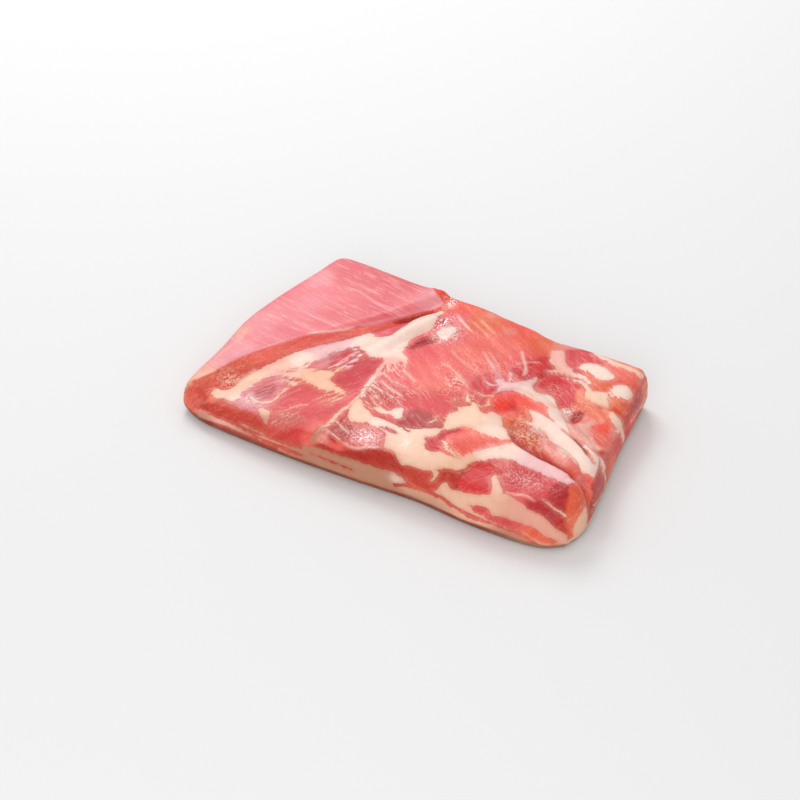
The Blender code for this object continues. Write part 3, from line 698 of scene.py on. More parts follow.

# Silverskin, marbling, wet grain with painted glints, and ragged edges: x, rise, radius along x and rise,
# strength
FINISHES = {
    "film": [
        (-67, 20, 7, 12, 0.7), (-82, -16, 9, 6, 0.9), (-80, -30, 8, 8, 0.8), (-84, -42, 11, 8, 0.9),
        (0, -33, 6, 3, 0.5), (-8, 76, 6, 12, 0.6), (94, -38, 16, 9, 0.5), (104, 18, 6, 5, 0.5),
        (50, 40, 7, 7, 0.5), (34, 34, 8, 8, 0.25), (-16, 6, 10, 10, 0.3), (100, -24, 14, 3, 0.6),
    ],
    "flecks": [
        (22, 27, 8, 12, 1.1), (9, 38, 5, 5, 0.6), (36, 17, 6, 6, 1), (28, 42, 5, 10, 0.5), (1, 6, 4, 5, 1),
        (-18, -44, 14, 10, 0.7), (80, 4, 10, 8, 1), (92, -36, 16, 10, 0.55), (70, 10, 8, 10, 1),
        (84, -2, 16, 7, 1), (40, 50, 20, 14, 0.5), (-12, -2, 12, 14, 0.7), (74, 48, 10, 8, 0.5),
        (-6, 62, 8, 8, 0.8), (-108, -30, 9, 12, 1), (96, 40, 10, 10, 0.5), (2, 12, 10, 8, 0.4),
        (-6, 84, 8, 10, 0.5), (-58, -48, 9, 10, 0.9),
    ],
    "wet": [
        (-5, -43, 8, 7, 1), (-6, 68, 8, 7, 1), (-16, 76, 5, 8, 1), (-22, 101, 4, 4, 1.5), (90, 32, 4, 4, 0.9),
        (94, -36, 14, 8, 0.25), (44, -29, 3, 3, 0.8), (108, 60, 4, 4, 0.3), (20, -38, 3, 4, 0.5),
        (-86, -42, 6, 5, 0.5), (-16, 84, 4, 6, 0.4),
    ],
    "fray": [
        (-80, -16, 18, 7, 1), (-90, -36, 6, 12, 0.9), (-20, 22, 8, 8, 1), (-50, 16, 9, 14, 0.9),
        (-22, -4, 8, 16, 0.8), (10, -28, 12, 7, 0.25), (30, -4, 8, 12, 0.35), (46, 44, 9, 8, 0.7),
        (-20, -46, 16, 11, 0.8), (74, 66, 14, 8, 0.5), (96, 30, 14, 10, 0.4), (64, -6, 10, 8, 0.5),
        (-40, -12, 14, 6, 0.8), (104, 56, 14, 12, 0.5), (86, 78, 14, 8, 0.5), (-106, -30, 6, 16, 0.6),
        (50, -30, 14, 8, 0.4),
    ],
}


def along(points, share):
    """Points at these shares, 0 to 1, of a smooth curve through the given points."""
    knots = np.array(points, float)
    padded = np.vstack([2 * knots[0] - knots[1], knots, 2 * knots[-1] - knots[-2]])
    place = np.asarray(share) * (len(knots) - 1)
    first = np.minimum(place.astype(int), len(knots) - 2)
    t = (place - first)[:, None]
    a, b, c, d = (padded[first + k] for k in range(4))
    return 0.5 * (2 * b + (c - a) * t + (2 * a - 5 * b + 4 * c - d) * t**2 + (3 * b - 3 * c + d - a) * t**3)


def measure(points, x, rise, reach=REACH, steps=4):
    """Distance from each place to a smooth line, positive on its left, and the share of it passed.

    A place farther from the line's box than the reach counts as very far away.
    """
    line = along(points, np.linspace(0, 1, steps * len(points)))
    distance, share = np.full(len(x), 1e3), np.zeros(len(x))
    low, high = line.min(axis=0) - reach, line.max(axis=0) + reach
    near = np.flatnonzero((x > low[0]) & (x < high[0]) & (rise > low[1]) & (rise < high[1]))
    best, sign, passed = np.full(len(near), 1e3), np.ones(len(near)), np.zeros(len(near))
    px, py = x[near], rise[near]
    for k, (start, end) in enumerate(zip(line[:-1], line[1:])):
        run = end - start
        t = np.clip(((px - start[0]) * run[0] + (py - start[1]) * run[1]) / max(run @ run, 1e-9), 0, 1)
        away = np.hypot(px - start[0] - t * run[0], py - start[1] - t * run[1])
        hand = np.where(run[0] * (py - start[1]) - run[1] * (px - start[0]) < 0, -1.0, 1.0)
        closer = away < best
        best, sign = np.where(closer, away, best), np.where(closer, hand, sign)
        passed = np.where(closer, k + t, passed)
    distance[near], share[near] = best * sign, passed / (len(line) - 1)
    return distance, share


def inside(outline, x, rise):
    """How far each place lies inside a closed smooth outline, in millimetres, negative outside."""
    closed = outline + outline[:1]
    distance = np.abs(measure(closed, x, rise)[0])
    line = along(closed, np.linspace(0, 1, 4 * len(closed)))
    within = np.zeros(len(x), bool)
    for (x0, y0), (x1, y1) in zip(line[:-1], line[1:]):
        if y0 != y1:
            within ^= ((rise < y0) != (rise < y1)) & (x < x0 + (rise - y0) * (x1 - x0) / (y1 - y0))
    return np.clip(np.where(within, distance, -distance), -REACH, REACH)


def fat_depth(patches, lines, x, rise):
    """How far each place lies inside the fat, in millimetres, negative in the lean."""
    shapes = [(what, inside(outline, x, rise)) for what, outline in patches]
    for what, route, widths in lines:
        distance, share = measure(route, x, rise)
        shapes.append((what, np.interp(share, np.linspace(0, 1, len(widths)), widths) - np.abs(distance)))
    depth = np.full(len(x), -REACH)
    for what, shape in shapes:
        depth = np.maximum(depth, shape) if what == "fat" else np.minimum(depth, -shape)
    return depth


def ease(t):
    """Smooth step from 0 to 1 while t goes from 0 to 1."""
    t = np.clip(t, 0, 1)
    return t * t * (3 - 2 * t)


def spread(places, x, rise):
    """Strength of soft oval places, the strongest one at each point."""
    total = np.zeros(len(x))
    for px, py, rx, ry, strength in places:
        total = np.maximum(total, strength * np.exp(-(((x - px) / rx) ** 2) - ((rise - py) / ry) ** 2))
    return total


def blend_spots(spots, tints, x, rise):
    """Colour at each place, blended from soft spots, whose faint tails fill what no spot reaches."""
    total, mixed = np.full(len(x), 1e-9), np.zeros((len(x), 3))
    for name, places in spots.items():
        for px, py, radius in places:
            gap = ((x - px) ** 2 + (rise - py) ** 2) / radius**2
            weight = np.exp(-1.4 * gap) + 1e-3 / (1 + gap) ** 2
            total += weight
            mixed += weight[:, None] * tints[name]
    return mixed / total[:, None]


def over(below, above, share):
    """One colour laid over another."""
    return below + (above - below) * share[:, None]


def ripple(points, size, seed, stretch=(1, 1, 1)):
    """Soft noise of about -1 to 1, with this grain size in millimetres."""
    scale = [s / size for s in stretch]
    offset = Vector((seed * 17.3, seed * 5.1, seed * 9.7))
    return np.array([
        noise.noise(Vector((p[0] * scale[0], p[1] * scale[1], p[2] * scale[2])) + offset) for p in points
    ])


def slab_blank():
    """The solid's own surface as a finer mesh, smoothed, with its base left flat."""
    bm = bmesh.new()
    bm.from_mesh(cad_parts["belly_slab"].data)
    bmesh.ops.remove_doubles(bm, verts=bm.verts, dist=1e-6)
    base = [f for f in bm.faces if all(v.co.z < ON_TABLE for v in f.verts)]
    bmesh.ops.dissolve_faces(bm, faces=base, use_verts=True)
    bmesh.ops.subdivide_edges(bm, edges=bm.edges[:], cuts=3, use_grid_fill=True)
    soften(bm, [v for v in bm.verts if v.co.z > ON_TABLE], 14)
    return bm


def soften(bm, verts, times):
    """Smooths these vertices this many times."""
    for _ in range(times):
        bmesh.ops.smooth_vert(bm, verts=verts, factor=0.5, use_axis_x=True, use_axis_y=True, use_axis_z=True)
    bm.normal_update()


def shift(bm, amount):
    """Moves each vertex along its normal by this many millimetres, and keeps it in the solid's box."""
    low, high = (Vector(corner) for corner in SOLID_BOX)
    for vertex, step in zip(bm.verts, amount):
        place = vertex.co + vertex.normal * (float(step) * MM)
        vertex.co = [min(max(p, a), b) for p, a, b in zip(place, low, high)]


class Chart:
    """Where each vertex lies on the painting chart, and which part of the slab it belongs to, from 0 to 1."""

    def __init__(self, bm):
        bm.verts.ensure_lookup_table()
        self.points = np.array([v.co for v in bm.verts], float) / MM
        self.normals = np.array([v.normal for v in bm.verts], float)
        self.x, self.y, self.z = self.points.T
        self.rise = self.y + self.z
        self.above_table = ease(self.z / 3)

        # The chart shows the cut side and the near side, and the walls are the far, left and right sides
        self.cut_side = ease((self.normals[:, 2] - 0.1) / 0.4)
        self.near_side = np.maximum(self.cut_side, ease((-self.normals[:, 1] - 0.45) / 0.3))
        self.wall = 1 - self.near_side
        self.right_end = self.wall * ease((self.normals[:, 0] - 0.2) / 0.4)

        # The sheet of flank muscle, and the face of the step at its edge, roughest at its low end
        self.step = measure(STEP_TOP, self.x, self.rise, WHOLE_CHART)[0]
        self.foot = measure(STEP_FOOT, self.x, self.rise, WHOLE_CHART)[0]
        self.sheet = ease(self.step - 0.1)
        self.face = ease(1.1 - self.step) * ease(self.foot / 1.2 + 0.5) * self.cut_side
        self.rough_face = self.face * ease((-2 - self.rise) / 12)


def wall_fat(at):
    """Fat on the far and left sides: threads in the lean, over a streaked layer of back fat."""
    height = np.interp(at.x, [-130, -40, 40, 130], [22, 26, 32, 30])
    layer = 10.5 + 2.5 * ripple(at.points, 26, 3, (1, 1, 0.3)) - at.z
    streak = np.abs(at.z - 7.5 - 2.5 * ripple(at.points, 22, 5, (1, 1, 0.3)))
    layer = np.minimum(layer, streak - 0.9 - 1.6 * ripple(at.points, 18, 7))
    thread = np.abs(at.z - 0.68 * height - 3 * ripple(at.points, 34, 4, (1, 1, 0.2)))
    return np.maximum(layer, 0.9 + 0.9 * ripple(at.points, 15, 9) - thread)


def draw_fat(at):
    """How far each vertex lies inside the fat, in millimetres, on every side of the slab."""
    edge = fat_depth(PATCHES, LINES, at.x, at.rise)
    edge = np.where(at.foot > -0.5, np.minimum(edge, -at.foot - 1), edge)  # none on the step or the sheet
    end = fat_depth(END_PATCHES, END_LINES, at.y, at.z)
    walls = wall_fat(at) * (1 - at.right_end) + end * at.right_end
    return edge * at.near_side + walls * at.wall


def paint_lean(at, tints):
    """Colour of the lean: soft spots, muscles with an edge, the step, the sheet, faint lines, the walls."""
    colour = blend_spots(LEAN_SPOTS, tints, at.x, at.rise)
    for name, softness, outline in MUSCLES:
        colour = over(colour, tints[name], ease(inside(outline, at.x, at.rise) / softness + 0.5))
    colour = over(colour, tints["salmon"], at.face * ease((84 - at.rise) / 10))
    colour = over(colour, tints["ginger"], 0.45 * at.rough_face)
    colour = over(colour, blend_spots(SHEET_SPOTS, tints, at.x, at.rise), at.sheet)
    for name, strength, route, width in STROKES:
        distance, share = measure(route, at.x, at.rise)
        ends = ease(np.minimum(share, 1 - share) * 6)
        colour = over(colour, tints[name], strength * ends * np.exp(-((distance / width) ** 2)))
    colour = over(colour, (tints["brick"] + tints["flat"]) / 2, at.wall)
    return over(colour, blend_spots(END_SPOTS, tints, at.y, at.z), at.right_end)


def paint_fat(at, tints):
    """Colour of the fat, painted paler high up on the right end as painted light for that side."""
    colour = over(blend_spots(FAT_SPOTS, tints, at.x, at.rise), tints["layer"], at.wall)
    return over(colour, tints["cream"], at.right_end * ease((at.rise + 30) / 20))


def find_rind(at, depth):
    """Where the skin shows: the whole base, and the foot of every side, tallest on the near side, where its
    dark tint also paints the contact shade.
    """
    skin = ease((depth * (1 - 0.35 * at.wall) + 0.5 * ripple(at.points, 12, 6) - at.z) / 0.6 + 0.5)
    return np.maximum(skin, at.normals[:, 2] < -0.7)


def carve(at):
    """Height that folds, swellings and the step add, in millimetres, and how dark each fold is painted, as
    shade and as the red it keeps.
    """
    height, hollow = np.zeros(len(at.x)), np.zeros(len(at.x))
    charts = {
        "top": (at.x, at.rise, at.near_side),
        "plan": (at.x, at.y, at.cut_side),
        "end": (at.y, at.z, at.right_end),
    }
    for chart, route, right, left, depths, darkness in FOLDS:
        across, up, shown = charts[chart]
        distance, share = measure(route, across, up, 16)
        width = np.where(distance > 0, left, right)
        depth = np.interp(share, np.linspace(0, 1, len(depths)), depths)
        ends = ease(np.minimum(share, 1 - share) * 12) * shown
        height -= depth * np.exp(-((distance / width) ** 2)) * ends
        # Painted shade, with blood, along the fold
        hollow = np.maximum(hollow, darkness * np.exp(-((distance / min(right, left) / 1.1) ** 2)) * ends)
    for *place, swell in SWELLINGS:
        height += swell * at.near_side * spread([(*place, 1)], at.x, at.rise)
    lip = np.exp(-(((at.step - 0.8) / 1.6) ** 2))
    groove = np.exp(-(((at.foot + 0.4) / 1.4) ** 2)) * (at.step < 0)
    return height + 0.7 * (lip - 0.7 * groove) * at.cut_side, hollow


def base_stain_and_shade(at):
    """Blood and painted shade just above the table along the near side."""
    low = ease((6.5 - at.z) / 2) * ease(at.z / 1.5)
    near = ease((-at.normals[:, 1] - 0.1) / 0.3) * ease((105 - at.x) / 25)
    return 0.8 * low * near * (1 + 0.5 * ripple(at.points, 10, 11))


def relief(at, edge, sizes):
    """Height of the fat, its lobules, the coarse grain and the torn crumbs, in millimetres."""
    fat, rough = ease(edge / 1.6 + 0.5), 1 - at.sheet
    turn = 0.6  # of the grain on the chart, in radians
    along_x = at.x * math.cos(turn) - at.rise * math.sin(turn)
    along_rise = at.x * math.sin(turn) + at.rise * math.cos(turn)
    turned = np.stack([along_x, along_rise, 0 * at.x], axis=1)
    lift = sizes.fat_rise * fat * at.near_side * rough
    lift += sizes.lobule_rise * ripple(at.points, 7, 1) * fat * rough
    lift += sizes.grain_rise * ripple(turned, 3, 2, (0.25, 1, 1)) * (1 - fat) * (1 - 0.7 * at.sheet)
    torn = spread(FINISHES["flecks"], at.x, at.rise) * at.near_side + at.rough_face
    lift += sizes.torn_rise * ripple(at.points, 2.4, 8) * torn * rough
    return lift / MM


def grain_places(at):
    """Where each vertex lies along the fibres and across them, in metres."""
    shown = at.near_side > 0.5
    angle = np.select(
        [at.sheet > 0.5, (at.x < -26) & shown, at.rise > -34, at.x > 60], [-12.0, 55.0, -34.0, 60.0], -30.0
    )
    turn = np.radians(angle)
    u = at.x * np.cos(turn) + at.rise * np.sin(turn)
    v = at.rise * np.cos(turn) - at.x * np.sin(turn)
    return np.stack([np.where(shown, u, at.x + at.y), np.where(shown, v, at.z)], axis=1) * MM


class PORK_OT_slab(bpy.types.Operator):
    """Model the slab and paint its lean, fat, silverskin and rind"""

    bl_idname = "pork.slab"
    bl_label = "Pork belly slab"

    def execute(self, context):
        sizes, lean, fat = context.scene.slab_sizes, context.scene.lean_colours, context.scene.fat_colours
        tints = {
            name: np.array(getattr(group, name)) for group in (lean, fat) for name in group.__annotations__
        }
        bm = slab_blank()
        at = Chart(bm)
        edge = draw_fat(at)
        height, hollow = carve(at)
        fields = {name: spread(places, at.x, at.rise) * at.near_side for name, places in FINISHES.items()}
        fields["flecks"] += 0.25 * at.wall  # the walls are lightly marbled all over
        # hollow holds the painted shade and blood of the folds and of the near side's foot
        fields |= {
            "fat_edge": edge, "sheet": at.sheet, "step_face": at.face,
            "rind": find_rind(at, sizes.rind_depth / MM), "hollow": np.maximum(hollow, base_stain_and_shade(at)),
        }

        # The folds are carved and softened before the fine relief
        shift(bm, height * at.above_table)
        soften(bm, [v for v, h in zip(bm.verts, height) if abs(h) > 0.3 and v.co.z > ON_TABLE], 2)
        shift(bm, relief(at, edge, sizes) * at.above_table)

        mesh = bpy.data.meshes.new("belly_meat")
        bm.to_mesh(mesh)
        bm.free()
        mesh.shade_smooth()
        for name, values in fields.items():
            mesh.attributes.new(name, "FLOAT", "POINT").data.foreach_set("value", values.astype(np.float32))
        for name, values in (("lean_tint", paint_lean(at, tints)), ("fat_tint", paint_fat(at, tints))):
            colour = np.ones((len(at.x), 4), np.float32)
            colour[:, :3] = np.clip(values, 0, 1)
            mesh.attributes.new(name, "FLOAT_COLOR", "POINT").data.foreach_set("color", colour.ravel())
        corner = np.empty(len(mesh.loops), np.int32)
        mesh.loops.foreach_get("vertex_index", corner)
        grain = grain_places(at)[corner].astype(np.float32)
        mesh.uv_layers.new(name="grain").data.foreach_set("uv", grain.ravel())

        slab = bpy.data.objects.new("belly_meat", mesh)
        context.scene.collection.objects.link(slab)
        mesh.materials.append(cut_pork(sizes, fat))
        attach(slab, "root")
        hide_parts("belly_slab")
        return {"FINISHED"}


def add(tree, kind, inputs=None, out=0, **settings):
    """Adds a node with its settings, sets or links its inputs, and gives one of its outputs.

    Inputs that share a name are given by their place. On a mix of colours 0 is the share of the second
    colour, 6 and 7 are the colours, and its output is 2. On a range 1 and 2 turn into 3 and 4.
    """
    node = tree.nodes.new(kind)
    for name, value in settings.items():
        setattr(node, name, value)
    for name, value in (inputs or {}).items():
        if isinstance(value, bpy.types.NodeSocket):
            tree.links.new(value, node.inputs[name])
        else:
            node.inputs[name].default_value = value
    return node.outputs[out]


def shared_patterns(tree, sizes):
    """What the mesh says at each place, and the noises that more than one part of the material uses."""
    painted = ("fat_edge", "film", "flecks", "wet", "fray", "hollow", "rind", "sheet", "step_face")
    p = SimpleNamespace(**{
        name: add(tree, "ShaderNodeAttribute", out=2, attribute_name=name) for name in painted
    })
    p.lean_tint = add(tree, "ShaderNodeAttribute", attribute_name="lean_tint")
    p.fat_tint = add(tree, "ShaderNodeAttribute", attribute_name="fat_tint")
    p.place = add(tree, "ShaderNodeTexCoord", out=3)

    # Real fibres are about 0.05 mm wide, so the bundles that they lie in are drawn instead
    grain = add(tree, "ShaderNodeUVMap", uv_map="grain")
    p.long_grain = add(tree, "ShaderNodeMapping", {"Vector": grain, "Scale": (0.1, 1, 1)})
    p.short_grain = add(tree, "ShaderNodeMapping", {"Vector": grain, "Scale": (0.22, 1, 1)})
    p.fibres = add(tree, "ShaderNodeTexNoise", {
        "Vector": p.long_grain, "Scale": 1 / sizes.bundle_width, "Detail": 3,
        "Roughness": 0.6, "Distortion": 0.2})
    p.tufts = add(tree, "ShaderNodeTexNoise", {
        "Vector": p.short_grain, "Scale": 1 / sizes.tuft_width, "Detail": 2,
        "Roughness": 0.6, "Distortion": 0.3})
    p.clouds = add(tree, "ShaderNodeTexNoise", {
        "Vector": p.short_grain, "Scale": 1 / sizes.cloud_size, "Detail": 2})
    p.lobules = add(tree, "ShaderNodeTexNoise", {
        "Vector": p.place, "Scale": 1 / sizes.lobule_size, "Detail": 3, "Roughness": 0.55})
    p.crumbs = add(tree, "ShaderNodeTexNoise", {
        "Vector": p.place, "Scale": 1 / sizes.crumb_size, "Detail": 3, "Roughness": 0.6})
    p.calm = add(tree, "ShaderNodeMath", {0: p.sheet, 1: -0.6, 2: 1.0}, operation="MULTIPLY_ADD")
    return p


def fat_border(tree, p):
    """Where fat lies, and how well it covers: the painted edge, ragged, and frayed along the grain."""
    edge = add(tree, "ShaderNodeMath", {0: p.lobules, 1: 2.4, 2: -2.1}, operation="MULTIPLY_ADD")
    edge = add(tree, "ShaderNodeMath", {0: edge, 1: p.fat_edge}, operation="ADD")
    edge = add(tree, "ShaderNodeMath", {0: p.crumbs, 1: 1.8, 2: edge}, operation="MULTIPLY_ADD")
    pull = add(tree, "ShaderNodeMath", {0: p.fray, 1: 15.0, 2: 0.8}, operation="MULTIPLY_ADD")
    tuft = add(tree, "ShaderNodeMath", {0: p.tufts, 1: 0.5}, operation="SUBTRACT")
    edge = add(tree, "ShaderNodeMath", {0: tuft, 1: pull, 2: edge}, operation="MULTIPLY_ADD")
    blur = add(tree, "ShaderNodeMapRange", {0: p.crumbs, 1: 0.35, 2: 0.65, 3: 0.15, 4: 0.65})
    blur = add(tree, "ShaderNodeMath", {0: p.fray, 1: 0.6, 2: blur}, operation="MULTIPLY_ADD")
    start = add(tree, "ShaderNodeMath", {0: blur, 1: -1.0}, operation="MULTIPLY")
    is_fat = add(tree, "ShaderNodeMapRange", {0: edge, 1: start, 2: blur}, interpolation_type="SMOOTHSTEP")
    thick = add(tree, "ShaderNodeMapRange", {0: edge, 1: 0.0, 2: 3.0, 3: 0.78, 4: 1.0})
    veil = add(tree, "ShaderNodeMapRange", {0: edge, 1: -3.0, 2: 0.0, 3: 0.0, 4: 0.22})
    cover = add(tree, "ShaderNodeMath", {0: is_fat, 1: thick}, operation="MULTIPLY")
    return is_fat, add(tree, "ShaderNodeMath", {0: cover, 1: veil}, operation="MAXIMUM")


def marbling(tree, p, sizes):
    """Thin pale threads along the grain, short flecks like grains of rice, and a broken web."""
    ridges = add(tree, "ShaderNodeTexNoise", {
        "Vector": p.short_grain, "Scale": 1 / sizes.thread_gap, "Detail": 4,
        "Roughness": 0.6, "Distortion": 0.5})
    ridges = add(tree, "ShaderNodeMath", {0: ridges, 1: 0.5}, operation="SUBTRACT")
    ridges = add(tree, "ShaderNodeMath", {0: ridges}, operation="ABSOLUTE")
    threads = add(tree, "ShaderNodeMapRange", {0: ridges, 1: 0.022, 2: 0.006},
                  interpolation_type="SMOOTHSTEP")
    speck = add(tree, "ShaderNodeMapRange", {0: p.tufts, 1: 0.59, 2: 0.63}, interpolation_type="SMOOTHSTEP")
    patchy = add(tree, "ShaderNodeMapRange", {0: p.clouds, 1: 0.4, 2: 0.56})
    pale = add(tree, "ShaderNodeMath", {0: threads, 1: speck}, operation="MAXIMUM")
    pale = add(tree, "ShaderNodeMath", {0: pale, 1: patchy}, operation="MULTIPLY")

    wander = add(tree, "ShaderNodeTexNoise", {
        "Vector": p.place, "Scale": 1 / sizes.web_size, "Detail": 2}, out=1)
    wander = add(tree, "ShaderNodeVectorMath", {0: wander, 1: (2.4 * MM,) * 3, 2: p.place},
                 operation="MULTIPLY_ADD")
    web = add(tree, "ShaderNodeTexVoronoi", {"Vector": wander, "Scale": 1 / sizes.web_size},
              feature="DISTANCE_TO_EDGE")
    web = add(tree, "ShaderNodeMapRange", {0: web, 1: 0.16, 2: 0.06}, interpolation_type="SMOOTHSTEP")
    broken = add(tree, "ShaderNodeMapRange", {0: p.crumbs, 1: 0.44, 2: 0.54}, interpolation_type="SMOOTHSTEP")
    web = add(tree, "ShaderNodeMath", {0: web, 1: broken}, operation="MULTIPLY")
    web = add(tree, "ShaderNodeMath", {0: web, 1: p.flecks}, operation="MULTIPLY")
    pale = add(tree, "ShaderNodeMath", {0: pale, 1: web}, operation="MAXIMUM")
    dense = add(tree, "ShaderNodeMath", {0: p.flecks, 1: 0.7, 2: 0.16}, operation="MULTIPLY_ADD")
    return add(tree, "ShaderNodeMath", {0: pale, 1: dense}, operation="MULTIPLY")


def meat_colour(tree, p, cover, sizes):
    """Lean, darker and redder between its bundles and pale where it is marbled, under waxy fat."""
    tone = add(tree, "ShaderNodeMath", {0: p.fibres, 1: 0.14}, operation="MULTIPLY")
    tone = add(tree, "ShaderNodeMath", {0: p.clouds, 1: 0.46, 2: tone}, operation="MULTIPLY_ADD")
    tone = add(tree, "ShaderNodeMath", {0: p.crumbs, 1: 0.4, 2: tone}, operation="MULTIPLY_ADD")
    tone = add(tree, "ShaderNodeMapRange", {0: tone, 1: 0.38, 2: 0.62})
    shade = add(tree, "ShaderNodeMix", {0: tone, 6: (0.86, 0.58, 0.6, 1), 7: (1.05, 1.16, 1.13, 1)}, 2,
                data_type="RGBA")
    lean = add(tree, "ShaderNodeMix", {0: p.calm, 6: p.lean_tint, 7: shade}, 2, data_type="RGBA",
               blend_type="MULTIPLY")
    pale = marbling(tree, p, sizes)
    lean = add(tree, "ShaderNodeMix", {0: pale, 6: lean, 7: p.fat_tint}, 2, data_type="RGBA")

    waxy = add(tree, "ShaderNodeMix", {0: p.lobules, 6: (1, 0.86, 0.84, 1), 7: (1, 1.08, 1.1, 1)}, 2,
               data_type="RGBA")
    waxy = add(tree, "ShaderNodeMix", {0: 1.0, 6: p.fat_tint, 7: waxy}, 2, data_type="RGBA",
               blend_type="MULTIPLY")
    return add(tree, "ShaderNodeMix", {0: cover, 6: lean, 7: waxy}, 2, data_type="RGBA")


def dress(tree, p, colour, sizes, fat):
    """The meat's colour with silverskin, painted glints, rind, and stains and painted shade over it."""
    # Silverskin: pearly streaks along the grain, and pale bands on the sheet
    streaks = add(tree, "ShaderNodeMapRange", {0: p.fibres, 1: 0.4, 2: 0.65}, interpolation_type="SMOOTHSTEP")
    streaks = add(tree, "ShaderNodeMath", {0: streaks, 1: p.film}, operation="MULTIPLY")
    streaks = add(tree, "ShaderNodeMath", {0: streaks, 1: 0.65}, operation="MULTIPLY")
    colour = add(tree, "ShaderNodeMix", {0: streaks, 6: colour, 7: (*fat.pearl, 1)}, 2, data_type="RGBA")
    bands = add(tree, "ShaderNodeTexNoise", {
        "Vector": p.long_grain, "Scale": 1 / sizes.band_gap, "Detail": 3})
    bands = add(tree, "ShaderNodeMapRange", {0: bands, 1: 0.58, 2: 0.66}, interpolation_type="SMOOTHSTEP")
    bands = add(tree, "ShaderNodeMath", {0: bands, 1: p.sheet}, operation="MULTIPLY")
    bands = add(tree, "ShaderNodeMath", {0: bands, 1: 0.42}, operation="MULTIPLY")
    colour = add(tree, "ShaderNodeMix", {0: bands, 6: colour, 7: (*fat.blush, 1)}, 2, data_type="RGBA")

    # Painted highlights: glints painted almost white where the grain is wet, where light would catch bits of
    # fat and juice
    glints = add(tree, "ShaderNodeMapRange", {0: p.crumbs, 1: 0.54, 2: 0.58}, interpolation_type="SMOOTHSTEP")
    glints = add(tree, "ShaderNodeMath", {0: glints, 1: p.wet}, operation="MULTIPLY")
    glints = add(tree, "ShaderNodeMath", {0: glints, 1: 1.1}, operation="MULTIPLY")
    colour = add(tree, "ShaderNodeMix", {0: glints, 6: colour, 7: (*fat.painted_glint, 1)}, 2, data_type="RGBA")

    # Rind at the bottom, then the blood and painted shade that folds and the near side's foot keep
    skin = add(tree, "ShaderNodeMix", {0: p.lobules, 6: (*fat.rind, 1), 7: (*fat.tan, 1)}, 2,
               data_type="RGBA")
    colour = add(tree, "ShaderNodeMix", {0: p.rind, 6: colour, 7: skin}, 2, data_type="RGBA")
    stain_and_shade = add(tree, "ShaderNodeMix", {0: p.hollow, 6: (1, 1, 1, 1), 7: (*fat.blood_and_shade, 1)}, 2,
                data_type="RGBA")
    return add(tree, "ShaderNodeMix", {0: 1.0, 6: colour, 7: stain_and_shade}, 2, data_type="RGBA",
               blend_type="MULTIPLY")


def fine_relief(tree, p, is_fat):
    """Height of fibres on the lean, lobules on the fat, and crumbs where the cut tore the grain."""
    firm = add(tree, "ShaderNodeMath", {0: 1.0, 1: is_fat}, operation="SUBTRACT")
    firm = add(tree, "ShaderNodeMath", {0: firm, 1: p.calm}, operation="MULTIPLY")
    height = add(tree, "ShaderNodeMath", {0: p.fibres, 1: firm}, operation="MULTIPLY")
    height = add(tree, "ShaderNodeMath", {0: height, 1: 0.7}, operation="MULTIPLY")
    soft = add(tree, "ShaderNodeMath", {0: p.lobules, 1: is_fat}, operation="MULTIPLY")
    height = add(tree, "ShaderNodeMath", {0: soft, 1: 1.3, 2: height}, operation="MULTIPLY_ADD")
    torn = add(tree, "ShaderNodeMath", {0: p.step_face, 1: p.flecks}, operation="MAXIMUM")
    torn = add(tree, "ShaderNodeMath", {0: torn, 1: p.wet}, operation="MAXIMUM")
    torn = add(tree, "ShaderNodeMath", {0: torn, 1: 1.5, 2: 0.3}, operation="MULTIPLY_ADD")
    return add(tree, "ShaderNodeMath", {0: p.crumbs, 1: torn, 2: height}, operation="MULTIPLY_ADD")


def cut_pork(sizes, fat):
    """Raw pork, cut along and across its muscles with a knife.

    The lean is a moist bundle of fibres: pink to red, streaked along its grain, with pale threads, and
    glossy. The fat is waxy and a little duller, with shallow lobules. Silverskin lies over both as a
    pearly film. Light sinks a few millimetres into all of them, and comes out redder.
    """
    material = bpy.data.materials.new("raw_pork_cut_side")
    material.use_nodes = True
    tree = material.node_tree
    shader = tree.nodes["Principled BSDF"]
    p = shared_patterns(tree, sizes)
    is_fat, cover = fat_border(tree, p)
    colour = dress(tree, p, meat_colour(tree, p, cover, sizes), sizes, fat)
    tree.links.new(colour, shader.inputs["Base Color"])

    gloss = add(tree, "ShaderNodeMath", {0: is_fat, 1: 0.1, 2: 0.32}, operation="MULTIPLY_ADD")
    gloss = add(tree, "ShaderNodeMath", {0: p.clouds, 1: 0.14, 2: gloss}, operation="MULTIPLY_ADD")
    gloss = add(tree, "ShaderNodeMath", {0: p.wet, 1: -0.2, 2: gloss}, operation="MULTIPLY_ADD")
    tree.links.new(gloss, shader.inputs["Roughness"])
    moist = add(tree, "ShaderNodeMath", {0: p.wet, 1: 0.8, 2: 0.03}, operation="MULTIPLY_ADD")
    tree.links.new(moist, shader.inputs["Coat Weight"])
    shader.inputs["Coat Roughness"].default_value = 0.14
    shader.inputs["IOR"].default_value = 1.38
    shader.inputs["Specular IOR Level"].default_value = 0.38
    shader.inputs["Subsurface Weight"].default_value = 0.15
    shader.inputs["Subsurface Radius"].default_value = (1.0, 0.4, 0.3)
    shader.inputs["Subsurface Scale"].default_value = 3 * MM
    bump = {"Height": fine_relief(tree, p, is_fat), "Distance": 0.4 * MM, "Strength": 0.9}
    tree.links.new(add(tree, "ShaderNodeBump", bump), shader.inputs["Normal"])
    return material


def matt_floor():
    """Pale matt paper: no gloss, so it shows only the soft shadow."""
    material = bpy.data.materials.new("matt_paper_floor")
    material.use_nodes = True
    shader = material.node_tree.nodes["Principled BSDF"]
    shader.inputs["Base Color"].default_value = (*linear("EBEBEB"), 1)
    shader.inputs["Roughness"].default_value = 0.9
    shader.inputs["Specular IOR Level"].default_value = 0.1
    return material


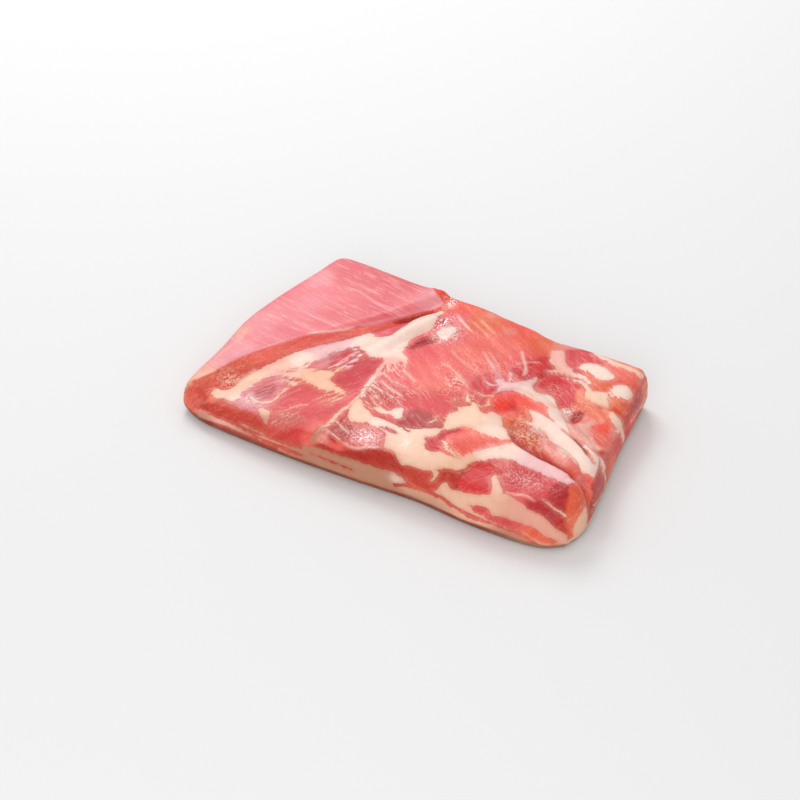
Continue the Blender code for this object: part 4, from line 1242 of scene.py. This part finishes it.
class PORK_OT_stage(bpy.types.Operator):
    """Set up the pale floor, the soft studio light and the camera"""

    bl_idname = "pork.stage"
    bl_label = "Stage"

    def execute(self, context):
        scene = context.scene
        scene.view_settings.view_transform = "Standard"
        self.floor(scene)
        self.light(scene)
        self.camera(scene)
        return {"FINISHED"}

    def floor(self, scene):
        bm = bmesh.new()
        bmesh.ops.create_grid(bm, x_segments=1, y_segments=1, size=4.0)
        bmesh.ops.translate(bm, verts=bm.verts, vec=(0, 0, -0.2 * MM))
        mesh = bpy.data.meshes.new("pale_floor")
        bm.to_mesh(mesh)
        bm.free()
        mesh.materials.append(matt_floor())
        floor = bpy.data.objects.new("pale_floor", mesh)
        scene.collection.objects.link(floor)

    def light(self, scene):
        world = bpy.data.worlds.new("soft_room")
        world.use_nodes = True
        world.node_tree.nodes["Background"].inputs["Color"].default_value = (1, 1, 1, 1)
        world.node_tree.nodes["Background"].inputs["Strength"].default_value = 0.64
        scene.world = world
        for name, place, size, power in (
            ("key_panel", (-0.75, 0.75, 1.15), 0.7, 9.0),
            ("fill_panel", (0.4, -1.3, 0.7), 1.0, 8.0),
            ("glint_panel", (-0.55, 1.1, 0.9), 0.16, 1.2),
        ):
            light = bpy.data.lights.new(name, "AREA")
            light.shape, light.size, light.energy = "SQUARE", size, power
            lamp = bpy.data.objects.new(name, light)
            lamp.location = place
            lamp.rotation_euler = (-Vector(place)).to_track_quat("-Z", "Y").to_euler()
            scene.collection.objects.link(lamp)

    def camera(self, scene):
        target, away = Vector((-19.8, 2.1, 0.0)) * MM, 1.698
        around, above = math.radians(27.787), math.radians(37.116)
        level = math.cos(above)
        back = Vector((math.sin(around) * level, -math.cos(around) * level, math.sin(above)))
        lens = bpy.data.cameras.new("camera")
        lens.lens, lens.sensor_width = 127.35, 36.0
        camera = bpy.data.objects.new("camera", lens)
        camera.location = target + back * away
        camera.rotation_euler = (-back).to_track_quat("-Z", "Y").to_euler()
        scene.collection.objects.link(camera)
        scene.camera = camera


class PORK_PT_panel(bpy.types.Panel):
    """Builds the slab and its stage"""

    bl_idname = "PORK_PT_panel"
    bl_label = "Pork belly"
    bl_space_type = "VIEW_3D"
    bl_region_type = "UI"
    bl_category = "Pork belly"

    def draw(self, context):
        self.layout.operator(PORK_OT_stage.bl_idname)
        self.layout.operator(PORK_OT_slab.bl_idname)
        for group in (context.scene.slab_sizes, context.scene.lean_colours, context.scene.fat_colours):
            box = self.layout.box()
            for name in group.__annotations__:
                box.prop(group, name)


CLASSES = (LeanColours, FatColours, SlabSizes, PORK_OT_slab, PORK_OT_stage, PORK_PT_panel)


def register():
    for cls in CLASSES:
        bpy.utils.register_class(cls)
    bpy.types.Scene.lean_colours = PointerProperty(type=LeanColours)
    bpy.types.Scene.fat_colours = PointerProperty(type=FatColours)
    bpy.types.Scene.slab_sizes = PointerProperty(type=SlabSizes)


def unregister():
    del bpy.types.Scene.slab_sizes, bpy.types.Scene.fat_colours, bpy.types.Scene.lean_colours
    for cls in reversed(CLASSES):
        bpy.utils.unregister_class(cls)


def main():
    register()
    bpy.ops.pork.stage()
    bpy.ops.pork.slab()


if __name__ == "__main__":
    main()
